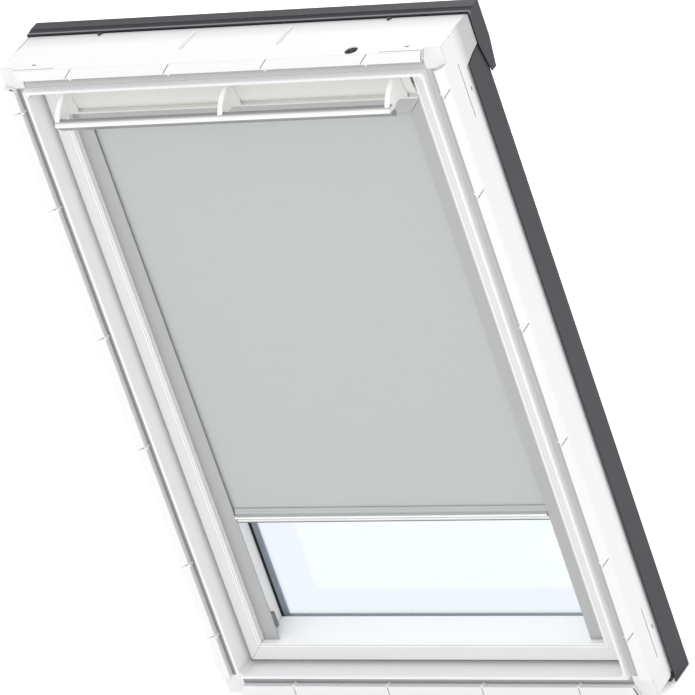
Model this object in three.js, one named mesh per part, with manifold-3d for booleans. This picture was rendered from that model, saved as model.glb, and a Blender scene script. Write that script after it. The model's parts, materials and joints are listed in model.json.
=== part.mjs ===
// A centre-pivot roof window with a hand-operated blackout roller blind in its sash.
// Millimetres. X runs to the right seen from indoors, Y outdoors from the rim's front, Z up the slope.

import * as THREE from "three";
import { mergeVertices } from "three/addons/utils/BufferGeometryUtils.js";
import Module from "manifold-3d";

const wasm = await Module();
wasm.setup();

// Overall sizes
const frameWidth = 660;
const frameHeight = 978;
const frameDepth = 92;
const originDepth = 28;

// Clearances
const overrun = 2;
const fitGap = 0.3;

// Frame section
const lipWidth = 16;
const lipSetback = 3;
const lipChamfer = 1.5;
const grooveWidth = 14;
const grooveDepth = 12.5;
const rimWidth = 5;
const rimRound = 1.4;
const rimCorner = 8;
const rimCornerDepth = 34;
const rimCornerSteps = 6;

// Recess for the side covers, along the back of each side member
const coverRecess = 2;
const shadowGap = 4.2;
const coverSideDepth = 31;
const recessRunIn = 16;
const coverTopDrop = 54;
const coverTopSlope = 12;

// Lip seams: a slanting cut and a small tab at each place along the lip
const seamWidth = 1;
const seamDepth = 1.4;
const seamTurns = { top: Math.PI / 4, bottom: 0, left: Math.PI / 2.5, right: Math.PI / 4 };
const seamTabWidth = 7;
const seamTabReach = 3;
const topSeamShares = [-0.338, -0.112, 0.108, 0.332];
const bottomSeamShares = [-0.332, -0.11, 0.11, 0.332];
const sideSeamShares = [0.098, 0.216, 0.407, 0.583, 0.786, 0.935];

// Slots for the assembly keys in the outer faces
const keySlotLength = 77;
const keySlotWidth = 1.2;
const keySlotDepth = 1.5;
const sideKeySlotY = 37;
const sideKeySlotInset = 41;
const topKeySlotY = 6;
const topKeySlotInset = 10;

// Corner caps
const capShares = [
  [0, 0],
  [0.8, 0],
  [1, 0.53],
  [1, 1],
  [0.53, 1],
  [0, 0.8],
];
const capSetback = 7.7;

// Cable grommet
const grommetRadius = 9;
const grommetFlange = 1.2;
const grommetDepth = 6;
const grommetShare = 0.302;
const grommetY = 14;
const cableHoleRadius = 2;
const cableHoleSpacing = 8;

// Weather seal between frame and sash
const frameSealWidth = 4.4;
const frameSealY = 38;
const frameSealDepth = 8;

// Sash
const sashGap = 8;
const sashSideFace = 23;
const sashBottomFace = 26;
const sashFrontY = 26;
const beadDepth = 10;
const beadLine = 0.7;
const rebateWall = 8;
const sashTopY = 44;
const sashTopHeight = 26;

// Insulating glass
const paneThickness = 4;
const paneGap = 16;
const paneSetback = 1.3;
const paneBite = 12;
const paneFootBite = 16.4;
const spacerWidth = 8;
const spacerSideShow = 0.6;
const spacerBottomDrop = 9;
const gasketLipWidth = 4;
const gasketThickness = 0.5;

// Pivot
const pivotSetback = 3;
const pivotPlateWidth = 26;
const pivotPlateHeight = 90;
const pivotPlateThickness = 2.6;
const pivotPinRadius = 6;

// Cladding
const sheet = 1.4;
const coverStandOff = 11;
const coverOverhang = 15;
const coverFlange = 32;
const hoodGap = 1;
const hoodStep = 10;
const hoodLift = 2.4;
const hoodFold = 0.9;
const hoodRise = 4.5;
const hoodDepth = 29;
const hoodSkirt = 53;
const hoodCheekDrop = 89;
const hoodCheekFront = 46;
const hoodCheekSetback = 7;
const hoodTabShare = 0.329;
const hoodTabWidth = 12;
const hoodTabReach = 8;
const outerCoverInset = 13;
const upperCoverLap = 3;
const lowerCoverLap = 15;
const coverPivotClearance = 70;
const sillCoverHeight = 34;
const sillSealDepth = 40;
const sillSealHeight = 8;
const sillRebate = 1;
const glazingCoverOverlap = 12;
const glazingCoverSetback = 6;
const glazingCoverDrop = 14.5;
const bottomCoverLap = 11;

// Vent flap and control bar
const flapAxisY = 33.4;
const flapAxisDrop = 36;
const flapKnuckle = 3.3;
const flapWall = 2.6;
const flapTopDrop = 1;
const flapTopY = 22;
const flapLipY = 26.5;
const flapLipHeight = 2.4;
const flapCoveShares = [
  [0.0, 1.0],
  [0.05, 0.76],
  [0.2, 0.5],
  [0.47, 0.26],
  [0.84, 0.08],
];
const flapPinRadius = 1.5;
const flapPinReach = 6;
const flapNotchInset = 23;
const flapNotchRadius = 4.2;
const barFrontY = -24;
const barDepth = 15;
const barHeight = 19;
const barDrop = 3.4;
const barShares = [
  [0.0, 0.59],
  [0.02, 0.66],
  [0.08, 0.77],
  [0.18, 0.88],
  [0.3, 0.96],
  [0.44, 1.0],
  [0.58, 0.99],
  [0.72, 0.93],
  [0.84, 0.81],
  [0.94, 0.62],
  [1.0, 0.4],
  [1.0, 0.2],
  [0.95, 0.06],
  [0.86, 0.0],
  [0.76, 0.03],
];
const finInset = 17.3;
const finWidth = 7;
const finReach = 23.6;
const finRise = 3;
const finTipRise = 0.6;
const finFrontShares = [
  [0.76, 0.99],
  [0.66, 0.95],
  [0.44, 0.82],
  [0.25, 0.66],
  [0.1, 0.45],
  [0.02, 0.27],
  [0.0, 0.12],
  [0.05, 0.0],
];
const finBackShares = [
  [0.17, 0.0],
  [0.28, 0.15],
  [0.43, 0.25],
  [0.61, 0.26],
  [0.79, 0.16],
];

// Latch
const latchWidth = 24;
const latchDepth = 12;
const latchFrontY = 60;
const latchHeight = 18;
const latchReach = 2.6;
const strikePlate = 1.8;
const strikeWidth = 46;
const strikeDepth = 24;
const latchPocketDepth = 20;

// Blind: side channels and top casing
const channelFrontY = 37.2;
const channelWidth = 24.5;
const channelDepth = 12;
const channelBackFlange = 17;
const channelWall = 1.7;
const casingDrop = 8.4;
const casingHeight = 28;
const casingDepth = 33.8;
const casingSlot = 12;
const casingEndPlate = 6;
const footWidth = 6;
const footDepth = 14;
const footHeight = 22;
const footSetback = 9;

// Blind: roller, cloth and bottom bar
const clothPlaneY = 42;
const clothThickness = 0.6;
const clothEdge = 10;
const rollRadius = 12.1;
const rollerRadius = 8.5;
const rollerWall = 1.2;
const mandrelRadius = 3.4;
const journalRadius = 3;
const openHeight = 187.4;
const bottomBarHeight = 21.6;
const bottomBarDepth = 9.6;
const bottomBarSlot = 8;
const bottomBarFaceY = 39.6;
const bottomBarHandle = 5.4;
const guideThickness = 6.4;
const guideHeight = 17;

// Derived places
const halfWidth = frameWidth / 2;
const memberWidth = lipWidth + grooveWidth + rimWidth;
const capSize = lipWidth + grooveWidth;
const coverFrontY = frameDepth - coverSideDepth;
const coverBackY = frameDepth + coverStandOff;
const grommetX = grommetShare * frameWidth;
const revealX = halfWidth - memberWidth;
const revealLow = memberWidth;
const revealHigh = frameHeight - memberWidth;
const sashX = revealX - sashGap;
const sashLow = revealLow + sashGap;
const sashHigh = revealHigh - sashGap;
const sashInnerX = sashX - sashSideFace;
const sashInnerLow = sashLow + sashBottomFace;
const sashInnerHigh = sashHigh - sashTopHeight;
const paneFrontY = frameDepth + paneSetback;
const paneBackY = paneFrontY + paneThickness;
const outerPaneY = paneBackY + paneGap;
const sashBackY = outerPaneY + paneThickness;
const rebateY = paneFrontY - gasketThickness - fitGap;
const glazingCoverY = sashBackY + fitGap;
const pivotZ = frameHeight / 2;
const pivotY = frameDepth + pivotSetback;
const pivotPlateFrontY = frameDepth - pivotPlateWidth;
const hoodFrontY = frameDepth + hoodGap;
const hoodBackY = hoodFrontY + hoodDepth;
const hoodCheekBackY = hoodBackY - hoodCheekSetback;
const hoodTabX = hoodTabShare * frameWidth;
const upperCoverInner = sashX - upperCoverLap;
const lowerCoverInner = sashX - lowerCoverLap;
const bottomCoverTop = sashLow + bottomCoverLap;
const sillSealFrontY = frameDepth - sillSealDepth;
const hoodTopZ = frameHeight + hoodRise;
const coverX = halfWidth - coverRecess + fitGap;
const outerCoverX = halfWidth - outerCoverInset;
const flapAxisZ = sashHigh - flapAxisDrop;
const flapTopZ = sashHigh - flapTopDrop;
const flapNotchX = sashInnerX - flapNotchInset;
const barBackY = barFrontY + barDepth;
const barLowZ = flapAxisZ - barDrop;
const finX = sashInnerX - finInset;
const finTopZ = sashHigh + finRise;
const finTipZ = flapAxisZ + finTipRise;
const channelInnerX = sashInnerX - channelWidth;
const casingTopZ = sashInnerHigh - casingDrop;
const casingLowZ = casingTopZ - casingHeight;
const casingBackY = channelFrontY + casingDepth;
const footFrontY = channelFrontY + channelDepth + footSetback;
const rollAxisZ = casingTopZ - casingHeight / 2;
const bottomBarLowZ = sashInnerLow + openHeight;
const rollAxisY = clothPlaneY + clothThickness / 2 + fitGap + rollRadius;
const clothHalf = channelInnerX + clothEdge;
const channelOuterX = sashInnerX - fitGap;
const blindLow = sashInnerLow + fitGap;

// Finishes
function finish(color, roughness, metalness = 0) {
  return new THREE.MeshStandardMaterial({ color, roughness, metalness });
}

const white = finish(0xf4f4f6, 0.4);
const sashWhite = finish(0xe9e9eb, 0.4);
const capGrey = finish(0xdadadd, 0.5);
const cladding = finish(0x545258, 0.45, 0.3);
const rubber = finish(0x1c1c1e, 0.8);
const aluminium = finish(0xadadad, 0.45, 0.7);
const polished = finish(0xd8d8d8, 0.25, 0.9);
const flapWhite = finish(0xe8e8e4, 0.5);
const steel = finish(0x9a9c9e, 0.4, 0.8);
const clothGrey = finish(0xc8ccca, 0.9);
const clipGrey = finish(0x77787a, 0.6);
const glass = new THREE.MeshStandardMaterial({
  color: 0xe8f4fa,
  roughness: 0.05,
  transparent: true,
  opacity: 0.35,
});

// Solids: joining and cutting closed geometries
function solidOf(geometry) {
  const bare = geometry.clone();
  bare.deleteAttribute("normal");
  bare.deleteAttribute("uv");
  const merged = mergeVertices(bare);
  return new wasm.Manifold(
    new wasm.Mesh({
      numProp: 3,
      vertProperties: merged.attributes.position.array,
      triVerts: new Uint32Array(merged.index.array),
    }),
  );
}

function geometryOf(solid) {
  const made = solid.getMesh();
  const geometry = new THREE.BufferGeometry();
  geometry.setAttribute("position", new THREE.BufferAttribute(made.vertProperties, 3));
  geometry.setIndex(new THREE.BufferAttribute(made.triVerts, 1));
  const flat = geometry.toNonIndexed();
  flat.computeVertexNormals();
  return flat;
}

function cut(geometry, ...tools) {
  const left = tools.reduce((solid, tool) => solid.subtract(solidOf(tool)), solidOf(geometry));
  return geometryOf(left);
}

function join(first, ...others) {
  const whole = others.reduce((solid, other) => solid.add(solidOf(other)), solidOf(first));
  return geometryOf(whole);
}

// Prisms: an outline run along one axis between two places
function outline(points, holes = []) {
  const shape = new THREE.Shape(points.map(([u, v]) => new THREE.Vector2(u, v)));
  for (const hole of holes) {
    shape.holes.push(new THREE.Path(hole.map(([u, v]) => new THREE.Vector2(u, v))));
  }
  return shape;
}

const axisBasis = {
  x: [new THREE.Vector3(0, 1, 0), new THREE.Vector3(0, 0, 1), new THREE.Vector3(1, 0, 0)],
  y: [new THREE.Vector3(1, 0, 0), new THREE.Vector3(0, 0, 1), new THREE.Vector3(0, -1, 0)],
  z: [new THREE.Vector3(1, 0, 0), new THREE.Vector3(0, 1, 0), new THREE.Vector3(0, 0, 1)],
};

// Outlines are (y, z) along x, (x, z) along y and (x, y) along z.
function prism(axis, points, from, to, holes = []) {
  const low = Math.min(from, to);
  const high = Math.max(from, to);
  const geometry = new THREE.ExtrudeGeometry(outline(points, holes), {
    depth: high - low,
    bevelEnabled: false,
  });
  const basis = new THREE.Matrix4().makeBasis(...axisBasis[axis]);
  const start = axis === "y" ? new THREE.Vector3(0, high, 0) : axisBasis[axis][2].clone().multiplyScalar(low);
  return geometry.applyMatrix4(basis.setPosition(start));
}

function rectangle(u0, u1, v0, v1) {
  return [
    [u0, v0],
    [u1, v0],
    [u1, v1],
    [u0, v1],
  ];
}

function block(x0, x1, y0, y1, z0, z1) {
  const size = [x1 - x0, y1 - y0, z1 - z0].map(Math.abs);
  const geometry = new THREE.BoxGeometry(...size);
  return geometry.translate((x0 + x1) / 2, (y0 + y1) / 2, (z0 + z1) / 2);
}

// A rectangular ring in the window's plane, from depth y0 to y1.
function ring(outer, inner, y0, y1) {
  const hole = rectangle(-inner.x, inner.x, inner.low, inner.high);
  return prism("y", rectangle(-outer.x, outer.x, outer.low, outer.high), y0, y1, [hole]);
}

// A round bar along X.
function rod(radius, x0, x1, y, z, sides = 24) {
  const geometry = new THREE.CylinderGeometry(radius, radius, Math.abs(x1 - x0), sides);
  return geometry.rotateZ(Math.PI / 2).translate((x0 + x1) / 2, y, z);
}

// A round tube along X, open at both ends.
function tube(radius, bore, x0, x1, y, z, sides = 24) {
  const profile = [
    [bore, x0],
    [radius, x0],
    [radius, x1],
    [bore, x1],
    [bore, x0],
  ].map(([r, h]) => new THREE.Vector2(r, h));
  const geometry = new THREE.LatheGeometry(profile, sides);
  return geometry.rotateZ(-Math.PI / 2).translate(0, y, z);
}

// Frame members: a section of (inset, depth) points whose ends slant by the inset
const sideBasis = {
  left: [new THREE.Vector3(1, 0, 0), new THREE.Vector3(0, 1, 0), new THREE.Vector3(0, 0, 1)],
  right: [new THREE.Vector3(-1, 0, 0), new THREE.Vector3(0, 1, 0), new THREE.Vector3(0, 0, -1)],
  bottom: [new THREE.Vector3(0, 0, 1), new THREE.Vector3(0, 1, 0), new THREE.Vector3(-1, 0, 0)],
  top: [new THREE.Vector3(0, 0, -1), new THREE.Vector3(0, 1, 0), new THREE.Vector3(1, 0, 0)],
};

function slantedMember(side, section, start, length, startSlant, endSlant, inset) {
  const geometry = new THREE.ExtrudeGeometry(outline(section), { depth: length, bevelEnabled: false });
  const position = geometry.attributes.position;
  for (let i = 0; i < position.count; i++) {
    const atStart = position.getZ(i) < length / 2;
    const slant = position.getX(i) * (atStart ? startSlant : endSlant) + inset;
    position.setZ(i, position.getZ(i) + (atStart ? slant : -slant));
  }
  const basis = new THREE.Matrix4().makeBasis(...sideBasis[side]).setPosition(start);
  return geometry.applyMatrix4(basis);
}

function sideMark(side) {
  return side === "left" ? -1 : 1;
}

const pair = ["left", "right"];

function piece(group, name, geometry, material) {
  const mesh = new THREE.Mesh(geometry, material);
  mesh.name = name;
  group.add(mesh);
}

// Outer frame
function frameSection() {
  const grooveEnd = lipWidth + grooveWidth;
  return [
    [0, lipSetback + lipChamfer],
    [lipChamfer, lipSetback],
    [lipWidth - lipChamfer / 2, lipSetback],
    [lipWidth, lipSetback + lipChamfer / 2],
    [lipWidth, grooveDepth],
    [grooveEnd, grooveDepth],
    [grooveEnd, rimRound],
    [grooveEnd + rimRound / 2, 0],
    [memberWidth - rimRound, 0],
    [memberWidth - rimRound / 3, rimRound / 3],
    [memberWidth, rimRound],
    [memberWidth, frameDepth],
    [0, frameDepth],
  ];
}

function frameMember(side) {
  const starts = {
    left: [new THREE.Vector3(-halfWidth, 0, 0), frameHeight, 0],
    right: [new THREE.Vector3(halfWidth, 0, frameHeight), frameHeight, 0],
    bottom: [new THREE.Vector3(halfWidth, 0, 0), frameWidth, fitGap],
    top: [new THREE.Vector3(-halfWidth, 0, frameHeight), frameWidth, fitGap],
  };
  const [start, length, inset] = starts[side];
  return slantedMember(side, frameSection(), start, length, 1, 1, inset);
}

// The hollow behind each side cover: it runs in from the outer face and ends at a slope near the top.
function coverHollow(side) {
  const mark = sideMark(side);
  const runShares = [
    [0, 0],
    [0.35, 0.1],
    [0.7, 0.42],
    [1, 1],
  ];
  const run = runShares.map(([along, deep]) => [
    mark * (halfWidth - deep * shadowGap),
    coverFrontY - recessRunIn * (1 - along),
  ]);
  const shape = [
    ...run,
    [mark * (halfWidth - shadowGap), coverFrontY + fitGap],
    [mark * (halfWidth - coverRecess), coverFrontY + shadowGap],
    [mark * (halfWidth - coverRecess), frameDepth + overrun],
    [mark * (halfWidth + overrun), frameDepth + overrun],
    [mark * (halfWidth + overrun), coverFrontY - recessRunIn],
  ];
  const top = frameHeight - coverTopDrop;
  const geometry = prism("z", shape, -overrun, top);
  const position = geometry.attributes.position;
  const slope = coverTopSlope / (frameDepth - coverFrontY);
  for (let i = 0; i < position.count; i++) {
    const behind = Math.max(0, position.getY(i) - coverFrontY);
    if (position.getZ(i) > 0) position.setZ(i, position.getZ(i) + behind * slope);
  }
  return geometry;
}

// The corner of the lip and groove that a cap fills, grown by a clearance.
function cornerOutline(side, level, grow) {
  const mark = sideMark(side);
  const base = level === "bottom" ? 0 : frameHeight;
  const up = level === "bottom" ? 1 : -1;
  return capShares.map(([across, along]) => {
    const inset = across === 0 ? -grow : across * capSize + grow;
    const rise = along === 0 ? -grow : along * capSize + grow;
    return [mark * (halfWidth - inset), base + up * rise];
  });
}

function cornerCut(side, level) {
  return prism("y", cornerOutline(side, level, fitGap), -overrun, grooveDepth);
}

function cornerCap(side, level) {
  return prism("y", cornerOutline(side, level, 0), lipSetback + capSetback, grooveDepth - fitGap);
}

// A slanting seam cut across the lip's front, at a place along a side.
function lipSeam(side, place) {
  const reach = lipWidth * 2;
  const line = new THREE.BoxGeometry(seamWidth, seamDepth * 2, reach);
  line.rotateY(seamTurns[side]).translate(0, lipSetback, 0);
  const middle = lipWidth / 2;
  if (side === "top") return line.translate(place, 0, frameHeight - middle);
  if (side === "bottom") return line.translate(place, 0, middle);
  return line.translate(sideMark(side) * (halfWidth - middle), 0, place);
}

// A filling that rounds the rim's inner corner, on a top or bottom member.
function rimFillet(side, level) {
  const mark = sideMark(side);
  const up = level === "top" ? -1 : 1;
  const cornerZ = level === "top" ? revealHigh : revealLow;
  const out = revealX - fitGap;
  const points = [
    [mark * out, cornerZ - up * overrun],
    [mark * out, cornerZ + up * rimCorner],
  ];
  for (let i = 1; i <= rimCornerSteps; i++) {
    const angle = (i / rimCornerSteps) * (Math.PI / 2);
    points.push([
      mark * (out - rimCorner * (1 - Math.cos(angle))),
      cornerZ + up * rimCorner * (1 - Math.sin(angle)),
    ]);
  }
  points.push([mark * (out - rimCorner), cornerZ - up * overrun]);
  return prism("y", points, rimRound, rimCornerDepth);
}

// The step in the underside that the sill seal sits in.
function sealRebate() {
  const reach = halfWidth + overrun;
  return block(-reach, reach, sillSealFrontY, frameDepth + overrun, -overrun, sillRebate);
}

function lipTab(side, place) {
  const from = lipSetback + lipChamfer;
  const to = grooveDepth + overrun / 2;
  const half = seamTabWidth / 2;
  const near = lipWidth - overrun / 2;
  const far = lipWidth + seamTabReach;
  const triangle = [
    [place - half, near],
    [place + half, near],
    [place, far],
  ];
  if (side === "top") return prism("y", triangle.map(([a, b]) => [a, frameHeight - b]), from, to);
  if (side === "bottom") return prism("y", triangle, from, to);
  const mark = sideMark(side);
  return prism("y", triangle.map(([a, b]) => [mark * (halfWidth - b), a]), from, to);
}

function seamPlaces(side) {
  if (side === "top") return topSeamShares.map((share) => share * frameWidth);
  if (side === "bottom") return bottomSeamShares.map((share) => share * frameWidth);
  return sideSeamShares.map((share) => share * frameHeight);
}

function keySlots(side) {
  const deep = keySlotDepth;
  const wide = keySlotWidth / 2;
  if (side === "top") {
    return [-1, 1].map((mark) => {
      const outer = halfWidth - topKeySlotInset;
      const ends = [mark * outer, mark * (outer - keySlotLength)];
      return block(Math.min(...ends), Math.max(...ends), topKeySlotY - wide, topKeySlotY + wide,
        frameHeight - deep, frameHeight + overrun);
    });
  }
  const mark = sideMark(side);
  return [sideKeySlotInset, frameHeight - sideKeySlotInset + keySlotWidth - keySlotLength].map((low) =>
    block(mark * (halfWidth - deep), mark * (halfWidth + overrun), sideKeySlotY - wide,
      sideKeySlotY + wide, low, low + keySlotLength));
}

function grommetBore() {
  const bore = new THREE.CylinderGeometry(grommetRadius, grommetRadius, grommetDepth + overrun, 32);
  return bore.rotateX(Math.PI / 2).translate(grommetX, grommetY, frameHeight + (overrun - grommetDepth) / 2);
}

function grommet() {
  const radius = grommetRadius - fitGap;
  const height = grommetDepth - fitGap - grommetFlange;
  const plug = new THREE.CylinderGeometry(radius, radius, height, 32);
  plug.rotateX(Math.PI / 2).translate(grommetX, grommetY, frameHeight - grommetFlange - height / 2);
  const holes = [-1, 1].map((mark) => {
    const hole = new THREE.CylinderGeometry(cableHoleRadius, cableHoleRadius, grommetDepth, 16);
    const x = grommetX + mark * cableHoleSpacing / 2;
    return hole.rotateX(Math.PI / 2).translate(x, grommetY, frameHeight - grommetFlange);
  });
  return cut(plug, ...holes);
}

function buildFrameMembers(group) {
  for (const side of ["left", "right", "top", "bottom"]) {
    const places = seamPlaces(side);
    const tools = places.map((place) => lipSeam(side, place));
    if (pair.includes(side)) {
      tools.push(cornerCut(side, "top"), cornerCut(side, "bottom"), coverHollow(side), ...keySlots(side));
    } else {
      tools.push(...pair.flatMap((end) => [cornerCut(end, side), coverHollow(end)]));
    }
    if (side === "top") tools.push(grommetBore(), ...keySlots(side));
    if (side !== "top") tools.push(sealRebate());
    const extras = places.map((place) => lipTab(side, place));
    if (!pair.includes(side)) extras.push(...pair.map((end) => rimFillet(end, side)));
    const member = join(frameMember(side), ...extras);
    piece(group, `frame_${side}`, cut(member, ...tools), white);
  }
  for (const side of pair) {
    for (const level of ["top", "bottom"]) {
      piece(group, `corner_cap_${level}_${side}`, cornerCap(side, level), capGrey);
    }
  }
  piece(group, "cable_grommet", grommet(), rubber);
}

function buildFrameSeal(group) {
  const outer = { x: revealX - fitGap, low: revealLow + fitGap, high: revealHigh - fitGap };
  const inner = {
    x: outer.x - frameSealWidth,
    low: outer.low + frameSealWidth,
    high: outer.high - frameSealWidth,
  };
  const seal = ring(outer, inner, frameSealY, frameSealY + frameSealDepth);
  piece(group, "frame_seal", seal, rubber);
}

// Pivot: a plate and pin on the frame, a bored plate on the sash
function buildFramePivots(group) {
  const low = pivotZ - pivotPlateHeight / 2;
  for (const side of pair) {
    const mark = sideMark(side);
    const outer = revealX - fitGap;
    const plate = block(mark * (outer - pivotPlateThickness), mark * outer, pivotPlateFrontY,
      pivotPlateFrontY + pivotPlateWidth, low, low + pivotPlateHeight);
    const eye = rod(pivotPinRadius * 2, mark * (outer - pivotPlateThickness), mark * outer, pivotY, pivotZ, 32);
    const bore = rod(pivotPinRadius + fitGap, mark * (outer - pivotPlateThickness - overrun),
      mark * (outer + overrun), pivotY, pivotZ, 32);
    piece(group, `pivot_plate_${side}`, cut(join(plate, eye), bore), steel);
    const pinEnd = sashX + fitGap;
    piece(group, `pivot_pin_${side}`, rod(pivotPinRadius, mark * pinEnd, mark * outer, pivotY, pivotZ), steel);
  }
}

function buildSashPivots(group) {
  const low = pivotZ - pivotPlateHeight / 2;
  for (const side of pair) {
    const mark = sideMark(side);
    const inner = sashX + fitGap;
    const outer = inner + pivotPlateThickness;
    const plate = block(mark * inner, mark * outer, pivotPlateFrontY, pivotPlateFrontY + pivotPlateWidth,
      low, low + pivotPlateHeight);
    const eye = rod(pivotPinRadius * 2, mark * inner, mark * outer, pivotY, pivotZ, 32);
    const bore = rod(pivotPinRadius + fitGap, mark * (inner - overrun), mark * (outer + overrun),
      pivotY, pivotZ, 32);
    piece(group, `sash_pivot_${side}`, cut(join(plate, eye), bore), steel);
  }
}

// Outside cladding that stays on the frame
function sideCover(side) {
  const mark = sideMark(side);
  const outer = coverX + sheet;
  const shape = [
    [mark * coverX, coverFrontY + fitGap],
    [mark * outer, coverFrontY + fitGap],
    [mark * outer, coverBackY],
    [mark * (outer - coverFlange), coverBackY],
    [mark * (outer - coverFlange), coverBackY - sheet],
    [mark * coverX, coverBackY - sheet],
  ];
  const low = frameHeight - coverTopDrop - fitGap;
  const above = [
    [coverFrontY - overrun, low],
    [coverFrontY, low],
    [frameDepth + fitGap, low + coverTopSlope],
    [frameDepth + fitGap, frameHeight + overrun],
    [coverFrontY - overrun, frameHeight + overrun],
  ];
  const trim = prism("x", above, mark * (coverX - overrun), mark * (outer + overrun));
  return cut(prism("z", shape, -coverOverhang, frameHeight - fitGap), trim);
}

// The hood: a stepped top, a skirt down the back and a cheek at each end.
function topHood() {
  const low = frameHeight + fitGap;
  const section = [
    [hoodFrontY, low],
    [hoodFrontY, low + hoodLift],
    [hoodFrontY + hoodStep, low + hoodLift + hoodFold],
    [hoodFrontY + hoodStep + sheet, hoodTopZ],
    [hoodBackY, hoodTopZ],
    [hoodBackY, hoodTopZ - hoodSkirt],
    [hoodBackY - sheet, hoodTopZ - hoodSkirt],
    [hoodBackY - sheet, hoodTopZ - sheet],
    [hoodFrontY + hoodStep + sheet * 2, hoodTopZ - sheet],
    [hoodFrontY + hoodStep + sheet, low + hoodLift + hoodFold - sheet],
    [hoodFrontY + sheet, low + hoodLift - sheet],
    [hoodFrontY + sheet, low],
  ];
  const end = halfWidth + sheet;
  const cheekShape = [
    [frameDepth + fitGap, hoodTopZ - hoodCheekFront],
    [hoodFrontY, low],
    [hoodFrontY, low + hoodLift],
    [hoodFrontY + hoodStep, low + hoodLift + hoodFold],
    [hoodFrontY + hoodStep + sheet, hoodTopZ],
    [hoodBackY, hoodTopZ],
    [hoodBackY, hoodTopZ - hoodSkirt],
    [hoodCheekBackY, frameHeight - hoodCheekDrop],
    [coverBackY, frameHeight - hoodCheekDrop],
    [coverBackY - hoodStep, hoodTopZ - hoodSkirt],
  ];
  const cheeks = pair.map((side) => {
    const mark = sideMark(side);
    return prism("x", cheekShape, mark * (halfWidth + fitGap), mark * (end + fitGap));
  });
  const topShell = prism("x", section, -end, end);
  const tabFront = hoodFrontY - hoodTabReach;
  const tabs = [-1, 1].map((mark) => prism("z", [
    [mark * hoodTabX - hoodTabWidth / 2, hoodFrontY + sheet / 2],
    [mark * hoodTabX + hoodTabWidth / 2, hoodFrontY + sheet / 2],
    [mark * hoodTabX, tabFront],
  ], low, low + sheet));
  return join(topShell, ...cheeks, ...tabs);
}

// Cover strips over the joint between frame and sash: upper ones on the frame, lower ones on the sash.
function coverStrip(side, inner, low, high, innerLip) {
  const mark = sideMark(side);
  const shape = [
    [mark * outerCoverX, coverBackY + fitGap],
    [mark * outerCoverX, hoodBackY],
    [mark * inner, hoodBackY],
    [mark * inner, hoodBackY - sheet - innerLip],
    [mark * (inner + sheet), hoodBackY - sheet - innerLip],
    [mark * (inner + sheet), hoodBackY - sheet],
    [mark * (outerCoverX - sheet), hoodBackY - sheet],
    [mark * (outerCoverX - sheet), coverBackY + fitGap],
  ];
  return prism("z", shape, low, high);
}

function buildFrameCladding(group) {
  for (const side of pair) {
    piece(group, `side_cover_${side}`, sideCover(side), cladding);
    const low = pivotZ + coverPivotClearance;
    const high = hoodTopZ - hoodSkirt - fitGap;
    piece(group, `upper_cover_${side}`, coverStrip(side, upperCoverInner, low, high, 0), cladding);
  }
  piece(group, "top_hood", topHood(), cladding);
  const sillX = coverX + sheet - coverFlange - fitGap;
  const sill = [
    [frameDepth + fitGap, -sillSealHeight],
    [coverBackY, -sillSealHeight],
    [coverBackY, sillCoverHeight],
    [coverBackY - sheet, sillCoverHeight],
    [coverBackY - sheet, sheet - sillSealHeight],
    [frameDepth + fitGap, sheet - sillSealHeight],
  ];
  piece(group, "sill_cover", prism("x", sill, -sillX, sillX), cladding);
  const seal = block(fitGap - coverX, coverX - fitGap, sillSealFrontY + fitGap, frameDepth,
    -sillSealHeight, sillRebate - fitGap);
  piece(group, "sill_seal", seal, rubber);
}

// Sash
function sashSection(face) {
  const bead = sashFrontY + beadDepth;
  return [
    [0, sashFrontY + lipChamfer],
    [lipChamfer, sashFrontY],
    [face - lipChamfer * 2, sashFrontY],
    [face - lipChamfer / 2, sashFrontY + lipChamfer / 2],
    [face, sashFrontY + lipChamfer * 2],
    [face, bead - beadLine * 6],
    [face - beadLine, bead - beadLine * 5],
    [face, bead - beadLine * 4],
    [face, rebateY],
    [rebateWall, rebateY],
    [rebateWall, sashBackY],
    [0, sashBackY],
  ];
}

function buildSashMembers(group) {
  const height = sashHigh - sashLow;
  const slope = sashBottomFace / sashSideFace;
  const left = slantedMember("left", sashSection(sashSideFace),
    new THREE.Vector3(-sashX, 0, sashLow), height, slope, 0, 0);
  const right = slantedMember("right", sashSection(sashSideFace),
    new THREE.Vector3(sashX, 0, sashHigh), height, 0, slope, 0);
  piece(group, "sash_left", left, sashWhite);
  piece(group, "sash_right", right, sashWhite);
  const bottomPoints = sashSection(sashSideFace).map(([inset, depth]) => [inset * slope, depth]);
  const bottom = slantedMember("bottom", bottomPoints,
    new THREE.Vector3(sashX, 0, sashLow), sashX * 2, 1 / slope, 1 / slope, fitGap);
  piece(group, "sash_bottom", bottom, sashWhite);
  const inner = sashInnerX - fitGap;
  const topShape = [
    [sashTopY, sashInnerHigh],
    [rebateY, sashInnerHigh],
    [rebateY, sashHigh - rebateWall],
    [sashBackY, sashHigh - rebateWall],
    [sashBackY, sashHigh],
    [sashTopY, sashHigh],
  ];
  const pocket = block(-latchWidth / 2 - fitGap, latchWidth / 2 + fitGap, latchFrontY - fitGap,
    latchFrontY + latchDepth + fitGap, sashHigh - latchPocketDepth, sashHigh + overrun);
  piece(group, "sash_top", cut(prism("x", topShape, -inner, inner), pocket), sashWhite);
}

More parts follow.
